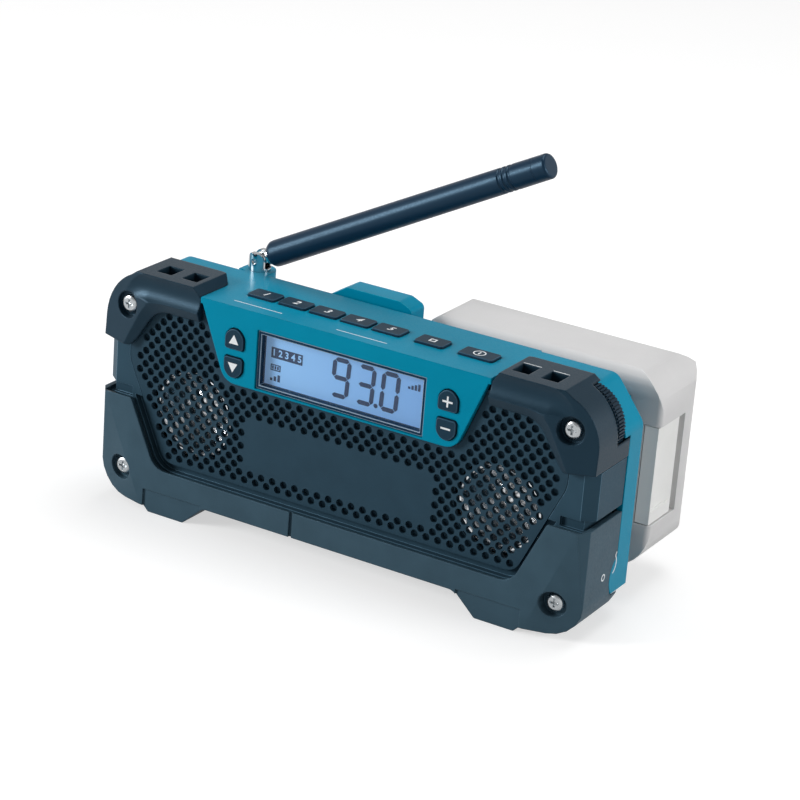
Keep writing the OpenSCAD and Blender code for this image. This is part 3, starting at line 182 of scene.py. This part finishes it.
# Glass fibre and a sandy tool make the housing matt, and the coarser grille flatter still
slate_plastic = moulded_plastic("slate plastic, fine grain", "#304958", 0.46, 0.5, 0.02, 0.08,
                                radius_mm=0.4)
# The edge copy is painted lighter than the slate, a painted highlight along the radii
slate_painted_edge = moulded_plastic("slate plastic, polished edge with painted highlight", "#5b7d92", 0.26, 0.5, 0.01, 0.04,
                             0.4)
grille_plastic = moulded_plastic("slate grille plastic", "#2b4250", 0.5, 0.6, 0.03, 0.1)
softened("front_housing", 0.3, slate_plastic, "housing", edge=slate_painted_edge)
softened("front_grille", 0.16, grille_plastic, "grille", segments=2, least=40)

# ---------------------------------------------------------------- end caps
# Impact-resistant caps over the upper corners, with strap slots, satin on
# the upper faces from the polished tool.

# A dark plastic whose satin skin shows a broad pale sheen where it faces the light
cap_plastic = moulded_plastic("slate cap plastic, satin", "#192d3a", 0.34, 0.7, 0.03, 0.06, 0.35,
                              radius_mm=0.7)
# The edge copy is painted lighter than the cap, a painted highlight along the radii
cap_painted_edge = moulded_plastic("slate cap plastic, polished edge with painted highlight", "#3b586c", 0.2, 0.6, 0.01, 0.04,
                           0.6)
for side in ("left", "right"):
    softened(side + "_cap", 0.42, cap_plastic, side + "_end_cap", edge=cap_painted_edge)

# ---------------------------------------------------------------- lower bumper
# The U-shaped bumper with its two feet, moulded in the same plastic with a
# coarser grain, painted lighter as a painted sheen, and screwed on from the front.

# Its colour is painted lighter, a painted sheen for the light that each facet of the coarse grain
# catches; its edges are painted lighter still, a painted highlight
bumper_plastic_painted_sheen = moulded_plastic("slate bumper plastic, coarse grain, painted sheen", "#3a515e", 0.42,
                                 0.8, 0.06, 0.14, 0.35, radius_mm=0.6)
bumper_painted_edge = moulded_plastic("slate bumper plastic, polished edge with painted highlight", "#7391a4", 0.28,
                              0.8, 0.03, 0.08, 0.4)
softened("lower_bumper", 0.4, bumper_plastic_painted_sheen, "bumper", edge=bumper_painted_edge)

# ---------------------------------------------------------------- dock
# Rails, plinth and terminal block, moulded in the shell's plastic. Their back
# plate lies flat on its rear wall, with room round the heads of the screws.

softened("dock_frame", 0.5, teal_abs, "dock_rails", edge=teal_painted_edge)
softened("dock_block", 0.6, teal_abs, "terminal_block", edge=teal_painted_edge)

# ---------------------------------------------------------------- display
# A navy surround, a clear acrylic window and a positive LCD with its pale
# blue backlight on. The segments are dark bars that lean a little.

# Nearly polished, so it stays dark; its thin bright rim is a painted highlight on the edge radii
bezel_plastic = moulded_plastic("navy bezel plastic", "#0b2c44", 0.3, 0.5, 0.004, 0.05)
bezel_painted_edge = moulded_plastic("navy bezel plastic, polished edge with painted highlight", "#9fb4c6", 0.2, 0.5, 0.004,
                             0.03)
softened("lcd_bezel", 0.22, bezel_plastic, "display_surround", edge=bezel_painted_edge)


def paint(node, material):
    """Gives a CAD node whose shape is right its real finish."""
    mesh = frame["nodes"][node].data
    mesh.materials.clear()
    mesh.materials.append(material)


def acrylic(name):
    """Cast acrylic: clear, with the sheen of a smooth surface on the side that faces out."""
    made, tree = new_material(name)
    clear = add(tree, "ShaderNodeBsdfTransparent", {"Color": linear("#f2f8fb")})
    sheen = add(tree, "ShaderNodeBsdfGlossy", {"Roughness": 0.04})
    fresnel = add(tree, "ShaderNodeFresnel", {"IOR": 1.49})
    inside = add(tree, "ShaderNodeNewGeometry").outputs["Backfacing"]
    front_side = add(tree, "ShaderNodeMath", {0: 1, 1: inside}, operation="SUBTRACT")
    weight = add(tree, "ShaderNodeMath", {0: fresnel.outputs["Fac"],
                                          1: front_side.outputs["Value"]}, operation="MULTIPLY")
    both = add(tree, "ShaderNodeMixShader")
    tree.links.new(weight.outputs["Value"], both.inputs[0])
    tree.links.new(clear.outputs["BSDF"], both.inputs[1])
    tree.links.new(sheen.outputs["BSDF"], both.inputs[2])
    add(tree, "ShaderNodeOutputMaterial", {"Surface": both.outputs["Shader"]})
    return made


def lit_panel(name, colour, far, glow):
    """The polariser over the backlight, which fades along the panel from the lamp's end."""
    half_length = 0.03
    made, tree = new_material(name)
    place = add(tree, "ShaderNodeTexCoord").outputs["Object"]
    along = add(tree, "ShaderNodeSeparateXYZ", {"Vector": place})
    fade = add(tree, "ShaderNodeMapRange", {"Value": along.outputs["X"],
                                            "From Min": -half_length, "From Max": half_length},
               interpolation_type="SMOOTHSTEP")
    mix = add(tree, "ShaderNodeMix", {"Factor": fade.outputs["Result"], "A": linear(colour),
                                      "B": linear(far)}, data_type="RGBA")
    shader = add(tree, "ShaderNodeBsdfPrincipled", {
        "Base Color": mix.outputs["Result"], "Roughness": 0.45,
        "Emission Color": linear(colour), "Emission Strength": glow})
    add(tree, "ShaderNodeOutputMaterial", {"Surface": shader.outputs["BSDF"]})
    return made


paint("lcd_lens", acrylic("display window acrylic"))
paint("lcd_module", lit_panel("display polariser", "#9cc4ee", "#7aa3d6", 0.24))
paint("lcd_backlight", lit_panel("backlight diffuser", "#e8f0f6", "#dce6ef", 0.1))

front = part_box("lower_bumper")[0][1]


def at(x, y, z):
    """Millimetres to metres: x to the right, y behind the bumper's face, z above the feet."""
    return Vector((x / 1000, front + y / 1000, z / 1000))


def plate(bm, corners, thickness_mm):
    """A thin flat piece that stands forward of its outline, given in metres."""
    verts = [bm.verts.new(c) for c in corners]
    face = bm.faces.new(verts)
    grown = bmesh.ops.extrude_face_region(bm, geom=[face])
    moved = [g for g in grown["geom"] if isinstance(g, bmesh.types.BMVert)]
    bmesh.ops.translate(bm, verts=moved, vec=(0, -thickness_mm / 1000, 0))


def finish_mesh(bm, name, material, body):
    """Turns a bmesh into a flat-faced piece that rides on a body."""
    bmesh.ops.remove_doubles(bm, verts=bm.verts, dist=1e-7)
    bmesh.ops.recalc_face_normals(bm, faces=bm.faces)
    mesh = bpy.data.meshes.new(name)
    bm.to_mesh(mesh)
    bm.free()
    mesh.materials.append(material)
    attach(link_object(mesh, name), body)


def printed(name, colour, roughness=0.5):
    """Pad-printed ink: flat, slightly uneven and matt."""
    speckle_mm, thin = 0.4, 0.86
    made, tree = new_material(name)
    place = add(tree, "ShaderNodeTexCoord").outputs["Object"]
    grain = add(tree, "ShaderNodeTexNoise", {"Vector": place, "Scale": 1000 / speckle_mm,
                                             "Detail": 1})
    mix = add(tree, "ShaderNodeMix", {"Factor": grain.outputs["Fac"], "A": linear(colour),
                                      "B": [c * thin for c in linear(colour)[:3]] + [1]},
              data_type="RGBA")
    shader = add(tree, "ShaderNodeBsdfPrincipled", {"Base Color": mix.outputs["Result"],
                                                    "Roughness": roughness})
    add(tree, "ShaderNodeOutputMaterial", {"Surface": shader.outputs["BSDF"]})
    return made


segment_ink = printed("liquid crystal segment, dark", "#2b3f63", 0.4)
panel_y = 5.62
digit_h, digit_w, digit_slant, digit_foot, bar_w = 12.0, 5.3, 0.05, 57.8, 1.5
bar_gap, ink_mm = 0.14, 0.02
LIT = {"9": "abcdfg", "3": "abcdg", "0": "abcdef"}
digits = bmesh.new()


def lcd_bar(x0, z0, x1, z1, left):
    """One slanted six-sided segment between two points of a digit's own grid."""
    run = Vector((x1 - x0, z1 - z0)).normalized()
    across = Vector((-run[1], run[0])) * bar_w / 2
    gap = run * bar_gap
    points = []
    for end, sign in (((x0, z0), 1), ((x1, z1), -1)):
        tip = Vector(end) + gap * sign
        waist = tip + run * sign * bar_w / 2
        points += [waist + across * sign, tip, waist - across * sign]
    plate(digits, [at(left + p[0] + (p[1] - digit_h / 2) * digit_slant, panel_y,
                      digit_foot + p[1]) for p in points], ink_mm)


w, h = digit_w, digit_h
ends = {"a": (0, h, w, h), "b": (w, h, w, h / 2), "c": (w, h / 2, w, 0), "d": (0, 0, w, 0),
        "e": (0, h / 2, 0, 0), "f": (0, h, 0, h / 2), "g": (0, h / 2, w, h / 2)}
for mark, left in (("9", -4.3), ("3", 4.9), ("0", 13.8)):
    for bar in LIT[mark]:
        lcd_bar(*ends[bar], left)
finish_mesh(digits, "display_digits", segment_ink, "radio")

ON_FRONT = Matrix(((1, 0, 0), (0, 0, -1), (0, 1, 0))).to_4x4()
ON_TOP = Matrix.Identity(4)
ON_SIDE = Matrix(((0, 0, 1), (1, 0, 0), (0, 1, 0))).to_4x4()


def shift(x, y, turn=0):
    """Turns by so many degrees, then moves to (x, y)."""
    return Matrix.Translation((x, y, 0)) @ Matrix.Rotation(radians(turn), 4, "Z")


def bar_mark(bm, x, y, w, h, turn=0):
    """A printed bar of width w and height h about (x, y), in millimetres."""
    bmesh.ops.create_grid(bm, x_segments=1, y_segments=1, size=0.5,
                          matrix=shift(x, y, turn) @ Matrix.Diagonal((w, h, 1, 1)))


def disc_mark(bm, x, y, r, sides, turn=0):
    """A printed disc, or an arrow head where it has three sides."""
    bmesh.ops.create_circle(bm, cap_ends=True, segments=sides, radius=r, matrix=shift(x, y, turn))


def arc_mark(bm, x, y, r, width, start=0, sweep=360):
    """A printed ring or arc, spun in ten-degree steps from a line across its width."""
    ends = [bm.verts.new((x + q * cos(radians(start)), y + q * sin(radians(start)), 0))
            for q in (r - width / 2, r + width / 2)]
    line = bm.edges.new(ends)
    bmesh.ops.spin(bm, geom=ends + [line], cent=(x, y, 0), axis=(0, 0, 1),
                   use_merge=sweep == 360, angle=radians(sweep), steps=int(sweep / 10))


def marks(bm, face, origin, name, material, body, thickness_mm=0.03):
    """Lays flat marks on a face of the radio, with the thickness of a coat of ink."""
    bmesh.ops.recalc_face_normals(bm, faces=bm.faces)
    grown = bmesh.ops.extrude_face_region(bm, geom=list(bm.faces))
    moved = [g for g in grown["geom"] if isinstance(g, bmesh.types.BMVert)]
    bmesh.ops.translate(bm, verts=moved, vec=(0, 0, thickness_mm))
    bmesh.ops.transform(bm, matrix=Matrix.Translation(origin) @ face @ Matrix.Scale(0.001, 4),
                        verts=bm.verts)
    finish_mesh(bm, name, material, body)


signs = bmesh.new()
box_x, box_z = -22, 66
bar_mark(signs, box_x, box_z, 11.8, 3.6)
disc_mark(signs, 11.7, 58, 0.75, 16)
# Battery level, and bars for the strength of the signal
level_x, level_z, level_line = -26, 61, 0.35
for side in (1, -1):
    bar_mark(signs, level_x, level_z + side * 0.9, 3.6, level_line)
for side in (-1, 1):
    bar_mark(signs, level_x + side * 1.7, level_z, level_line, 2.1)
for k in range(3):
    bar_mark(signs, level_x - 1 + 0.95 * k, level_z, 0.6, 1.1)
    bar_mark(signs, -27.4 + 1.4 * k, 56.9 + 0.35 * k, 0.9, 0.9 + 0.7 * k)
for k in range(4):
    bar_mark(signs, 23.2 + 1.2 * k, 67.2 + 0.25 * k, 0.8, 0.8 + 0.5 * k)
marks(signs, ON_FRONT, at(0, panel_y, 0), "display_signs", segment_ink, "radio", ink_mm)

# ---------------------------------------------------------------- keys
# Silicone keys, each in its own opening, and the white pad printing on them
# and on the deck, the right cap and the bumper's side.

# Silicone is dull to the eye, and handling leaves its edges a little glossier; their lighter
# colour is a painted highlight
key_rubber = moulded_plastic("key rubber, slate", "#1c3444", 0.42, 0.4, 0.008, 0.05)
key_painted_edge = moulded_plastic("key rubber, worn edge with painted highlight", "#3b5669", 0.32, 0.4, 0.006, 0.04)
FRONT_KEYS = ("up_key", "down_key", "plus_key", "minus_key")
TOP_KEYS = ("preset_key_1", "preset_key_2", "preset_key_3", "preset_key_4", "preset_key_5",
            "band_key", "power_key")
for key in FRONT_KEYS + TOP_KEYS:
    softened(key, 0.35, key_rubber, key + "_cap", edge=key_painted_edge)

white_ink = printed("white pad-printed ink", "#eef3f6")


def figure(text, size_mm, centre, name, body, material, face=ON_TOP, slope=0.25):
    """A printed figure, made a mesh before it is laid on its face."""
    coat_m, spread_m = 2e-5, 8e-5
    curve = bpy.data.curves.new(name, "FONT")
    curve.body = text
    curve.size = size_mm / 1000
    curve.align_x = "CENTER"
    curve.align_y = "CENTER"
    curve.extrude = coat_m
    curve.offset = spread_m
    curve.shear = slope
    holder = bpy.data.objects.new(name, curve)
    scene.collection.objects.link(holder)
    bpy.context.view_layer.update()
    mesh = bpy.data.meshes.new_from_object(holder)
    bpy.data.objects.remove(holder)
    mesh.transform(Matrix.Translation(centre) @ face)
    mesh.materials.clear()
    mesh.materials.append(material)
    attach(link_object(mesh, name), body)


figure("1 2 3 4 5", 3.1, at(box_x, panel_y - 0.025, box_z), "display_box_figures", "radio",
       lit_panel("display segment, clear", "#a9cdf2", "#a9cdf2", 0.2), ON_FRONT, 0)


def face_of(node, side):
    """Middle of a key's printed face: its front or its top."""
    low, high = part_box(node)
    spot = (Vector(low) + Vector(high)) / 2
    if side == "front":
        spot.y = low[1]
    else:
        spot.z = high[2]
    return spot


for k in range(1, 6):
    key = "preset_key_%d" % k
    figure(str(k), 3.9, face_of(key, "top"), key + "_figure", key, white_ink)

for key, turn, rise in (("up_key", 0, -0.5), ("down_key", 180, 0.5)):
    arrow = bmesh.new()
    disc_mark(arrow, 0, rise, 2.1, 3, turn)
    marks(arrow, ON_FRONT, face_of(key, "front"), key + "_arrow", white_ink, key)
stroke, plus_y = 0.62, -0.3
plus = bmesh.new()
bar_mark(plus, 0, plus_y, 3.6, stroke)
for side in (-1, 1):
    bar_mark(plus, 0, plus_y - side * 1.05, stroke, 1.48)
marks(plus, ON_FRONT, face_of("plus_key", "front"), "plus_key_sign", white_ink, "plus_key")
minus = bmesh.new()
bar_mark(minus, 0, 0.4, 3.4, stroke)
marks(minus, ON_FRONT, face_of("minus_key", "front"), "minus_key_sign", white_ink, "minus_key")
# Band key: a small open box; power key: ring and bar
line = 0.5
band = bmesh.new()
for side in (1, -1):
    bar_mark(band, 0, side * 0.9, 2.4, line)
for side in (-1, 1):
    bar_mark(band, side * 0.95, 0, line, 1.3)
marks(band, ON_TOP, face_of("band_key", "top"), "band_key_sign", white_ink, "band_key")
power = bmesh.new()
arc_mark(power, 0, 0, 1.9, 0.42)
bar_mark(power, 0, 0, line, 2.0)
marks(power, ON_TOP, face_of("power_key", "top"), "power_key_sign", white_ink, "power_key")

# Printed lines on the deck and on the right cap, and the earphone sign beside the ear
deck_line, cap_line = 0.32, 0.3
deck_lines = bmesh.new()
bar_mark(deck_lines, -34.7, 6.8, 18.2, deck_line)
bar_mark(deck_lines, 4.5, 6.2, 18.6, deck_line)
deck_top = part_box("body_shell")[1][2] * 1000
marks(deck_lines, ON_TOP, at(0, 0, deck_top), "deck_lines", white_ink, "radio")
cap_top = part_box("right_cap")[1][2] * 1000
cap_lines = bmesh.new()
bar_mark(cap_lines, 60.8, 14.1, 6.2, cap_line)
bar_mark(cap_lines, 70.8, 14.1, 5.6, cap_line)
marks(cap_lines, ON_TOP, at(0, 0, cap_top), "cap_lines", white_ink, "radio")
phones = bmesh.new()
arc_mark(phones, 15.8, 19.2, 1.0, 0.45)
arc_mark(phones, 20.5, 21.6, 3.7, 0.5, -60, 100)
bar_mark(phones, 23.6, 24.6, 1.4, 0.6, 60)
bumper_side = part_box("lower_bumper")[1][0] * 1000
marks(phones, ON_SIDE, at(bumper_side, 0, 0), "earphone_sign", white_ink, "radio")

# ---------------------------------------------------------------- tuning wheel
# A ribbed wheel, moulded in the caps' plastic and pressed on the encoder's
# shaft, that shows at the corner of the radio.

# Satin like the caps, in narrow ribs that break up the sheen
wheel_plastic = moulded_plastic("wheel plastic, slate", "#172a38", 0.4, 0.4, 0.01, 0.05)
paint("tuning_wheel", wheel_plastic)

# ---------------------------------------------------------------- antenna
# A chromed swivel with a tilting rod, which is a wound core under a smooth
# rubber sleeve with three grip grooves.


def plated_metal(name, colour, roughness):
    """Plated metal: a mirror that patches of haze, about 1 mm wide, soften here and there."""
    hazes_per_m = 900
    made, tree = new_material(name)
    place = add(tree, "ShaderNodeTexCoord").outputs["Object"]
    haze = add(tree, "ShaderNodeTexNoise", {"Vector": place, "Scale": hazes_per_m,
                                            "Detail": 2})
    rough = add(tree, "ShaderNodeMapRange", {"Value": haze.outputs["Fac"],
                                             "To Min": roughness * 0.7, "To Max": roughness * 1.4})
    shader = add(tree, "ShaderNodeBsdfPrincipled", {"Base Color": linear(colour), "Metallic": 1,
                                                    "Roughness": rough.outputs["Result"]})
    add(tree, "ShaderNodeOutputMaterial", {"Surface": shader.outputs["BSDF"]})
    return made


# Chrome mirrors the room, zinc is hazier and brass is warmer. The sleeve's rubber is
# smooth, with a soft line of light along the rod
chrome = plated_metal("chrome plate", "#d5d9dc", 0.08)
steel = plated_metal("zinc-plated steel", "#c3c8cb", 0.26)
brass = plated_metal("brass, plated", "#c9a656", 0.22)
rubber = moulded_plastic("antenna rubber, black", "#11283c", 0.36, 0.6, 0.004, 0.03, 0.4)
softened("antenna_knuckle", 0.3, chrome, "antenna_swivel")
softened("antenna_tongue", 0.15, chrome, "antenna_eye")
paint("antenna_pin", steel)
paint("antenna_socket", steel)
paint("antenna_core", steel)
softened("antenna_sleeve", 0.12, rubber, "antenna_rod", segments=2, least=30)
softened("antenna_tip", 0.12, rubber, "antenna_end", segments=2, least=30)

# ---------------------------------------------------------------- screws
# Zinc-plated steel pan heads with a cross recess: four in the wells at the
# front, four in the rear wall, and small ones that hold the main board.

softened("front_screws", 0.12, steel, "front_screw_heads", segments=2)
softened("rear_screws", 0.12, steel, "rear_screw_heads", segments=2)
paint("board_screws", steel)

# ---------------------------------------------------------------- battery
# Slide-on pack in pale grey plastic, with a paler latch panel at its end and
# a coil spring behind it that the latch presses flat.

# Pale and nearly matt, so its faces show by shade alone; the latch is whiter and smoother
battery_plastic = moulded_plastic("battery plastic, warm pale grey", "#d6d5d5", 0.42, 0.6,
                                  0.01, 0.03)
# The edge copy is painted whiter than the pack, a painted highlight along the radii
battery_painted_edge = moulded_plastic("battery plastic, polished edge with painted highlight", "#eceef0", 0.3, 0.6,
                               0.006, 0.02)
softened("battery_case", 0.7, battery_plastic, "battery_shell", least=24, edge=battery_painted_edge)
softened("battery_head", 0.4, battery_plastic, "battery_slide")
latch_plastic = moulded_plastic("latch plastic, white", "#eeeeec", 0.4, 0.6, 0.008, 0.02)
softened("latch_button", 0.5, latch_plastic, "latch_panel")
latch_coil = softened("latch_spring", 0.04, steel, "latch_coil", segments=1)
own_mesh(latch_coil)

# ---------------------------------------------------------------- inside
# Boards, speakers, cells and wiring. Only the speakers' metallised cones are
# seen, as glints behind the perforations.

# Solder mask and cell sleeves shine, resin is matt, and the cones' film glints like foil
board_green = moulded_plastic("solder mask, green", "#2a6b3c", 0.35, 1.2, 0.004, 0.08)
chip_resin = moulded_plastic("chip resin, black", "#1a1c1f", 0.6, 0.4, 0.006, 0.05)
wire_red = moulded_plastic("wire sleeve, red", "#a83a32", 0.4, 0.8, 0.004, 0.04)
cable_tan = moulded_plastic("ribbon cable, ivory", "#d9d3c0", 0.4, 0.8, 0.004, 0.04)
cell_sleeve = moulded_plastic("cell sleeve, green", "#4f8a63", 0.32, 0.9, 0.004, 0.04)
basket_steel = plated_metal("speaker basket, black zinc", "#3a3e42", 0.35)
cone_film = plated_metal("metallised cone film", "#eef1f4", 0.18)
for node, material in {
        "front_key_board": board_green, "top_key_board": board_green, "main_board": board_green,
        "board_chips": chip_resin, "key_switches": chip_resin, "tuner_can": steel,
        "tuning_encoder": steel, "encoder_shaft": steel, "speaker_wires": wire_red,
        "battery_leads": wire_red, "antenna_lead": chip_resin, "ribbon_cable": cable_tan,
        "dock_terminals": brass, "earphone_jack": chip_resin, "battery_cells": cell_sleeve,
        "battery_contacts": steel,
        "left_speaker_frame": basket_steel, "right_speaker_frame": basket_steel,
        "left_speaker_magnet": basket_steel, "right_speaker_magnet": basket_steel,
        "left_speaker_cone": cone_film, "right_speaker_cone": cone_film}.items():
    paint(node, material)

# ---------------------------------------------------------------- floor, light and camera
# A pale studio floor that keeps the shadow, a white room that greys towards
# the ceiling, three soft lamps, and a long lens from the right and above.

floor_mesh = bmesh.new()
bmesh.ops.create_circle(floor_mesh, cap_ends=True, segments=96, radius=2.4)
mesh = bpy.data.meshes.new("floor")
floor_mesh.to_mesh(mesh)
floor_mesh.free()
floor = link_object(mesh, "floor")

# Matt paper, which glows only where it is seen, so that it adds little light
floor_glow, gloss_share, room_light, high_walls = 0.58, 0.4, 0.24, 0.3
paper, tree = new_material("white studio paper")
ray = add(tree, "ShaderNodeLightPath")
gloss = add(tree, "ShaderNodeMath", {0: ray.outputs["Is Glossy Ray"], 1: gloss_share},
            operation="MULTIPLY")
seen = add(tree, "ShaderNodeMath", {0: ray.outputs["Is Camera Ray"],
                                    1: gloss.outputs["Value"]}, operation="MAXIMUM")
seen = add(tree, "ShaderNodeMath", {0: seen.outputs["Value"],
                                    1: ray.outputs["Is Transmission Ray"]}, operation="MAXIMUM")
glow = add(tree, "ShaderNodeMath", {0: seen.outputs["Value"], 1: floor_glow},
           operation="MULTIPLY")
shader = add(tree, "ShaderNodeBsdfPrincipled", {"Base Color": linear("#bcbcbc"), "Roughness": 0.9,
                                                "Emission Color": (1, 1, 1, 1),
                                                "Emission Strength": glow.outputs["Value"]})
add(tree, "ShaderNodeOutputMaterial", {"Surface": shader.outputs["BSDF"]})
mesh.materials.append(paper)

room = bpy.data.worlds.new("studio")
scene.world = room
room.use_nodes = True
tree = room.node_tree
tree.nodes.clear()
ray = add(tree, "ShaderNodeLightPath")
seen = add(tree, "ShaderNodeMath", {0: ray.outputs["Is Camera Ray"],
                                    1: ray.outputs["Is Glossy Ray"]}, operation="MAXIMUM")
seen = add(tree, "ShaderNodeMath", {0: seen.outputs["Value"],
                                    1: ray.outputs["Is Transmission Ray"]}, operation="MAXIMUM")
aim = add(tree, "ShaderNodeTexCoord").outputs["Generated"]
aim = add(tree, "ShaderNodeSeparateXYZ", {"Vector": aim})
walls = add(tree, "ShaderNodeMapRange", {"Value": aim.outputs["Z"], "From Min": 0.1,
                                         "From Max": 0.45, "To Min": 1, "To Max": high_walls})
level = add(tree, "ShaderNodeMix", {"Factor": seen.outputs["Value"], "A": room_light,
                                    "B": walls.outputs["Result"]})
sky = add(tree, "ShaderNodeBackground", {"Color": (1, 1, 1, 1),
                                         "Strength": level.outputs["Result"]})
add(tree, "ShaderNodeOutputWorld", {"Surface": sky.outputs["Background"]})

middle_of_radio = Vector((0, 0, 0.04))
for name, place, size, power in (("key", (-1.2, -1.05, 0.6), 0.7, 22),
                                 ("side", (1.2, 0.25, 0.45), 0.6, 7),
                                 ("top", (0.1, 0.35, 1.3), 0.8, 8)):
    lamp = bpy.data.lights.new(name, "AREA")
    lamp.shape = "DISK"
    lamp.size = size
    lamp.energy = power
    holder = bpy.data.objects.new(name, lamp)
    scene.collection.objects.link(holder)
    holder.location = place
    towards = middle_of_radio - Vector(place)
    holder.rotation_euler = towards.to_track_quat("-Z", "Y").to_euler()

focal_mm, film_mm = 124.74, 36
lens = bpy.data.cameras.new("camera")
lens.lens = focal_mm
lens.sensor_width = film_mm
camera = bpy.data.objects.new("camera", lens)
scene.collection.objects.link(camera)
camera.matrix_world = Matrix((
    (0.85358395, -0.24729609, 0.45851836, 0.415071),
    (0.51581142, 0.27781379, -0.81040612, -0.732245),
    (0.07302754, 0.92825866, 0.36469554, 0.376292),
    (0, 0, 0, 1)))
scene.camera = camera

scene.view_settings.view_transform = "Standard"
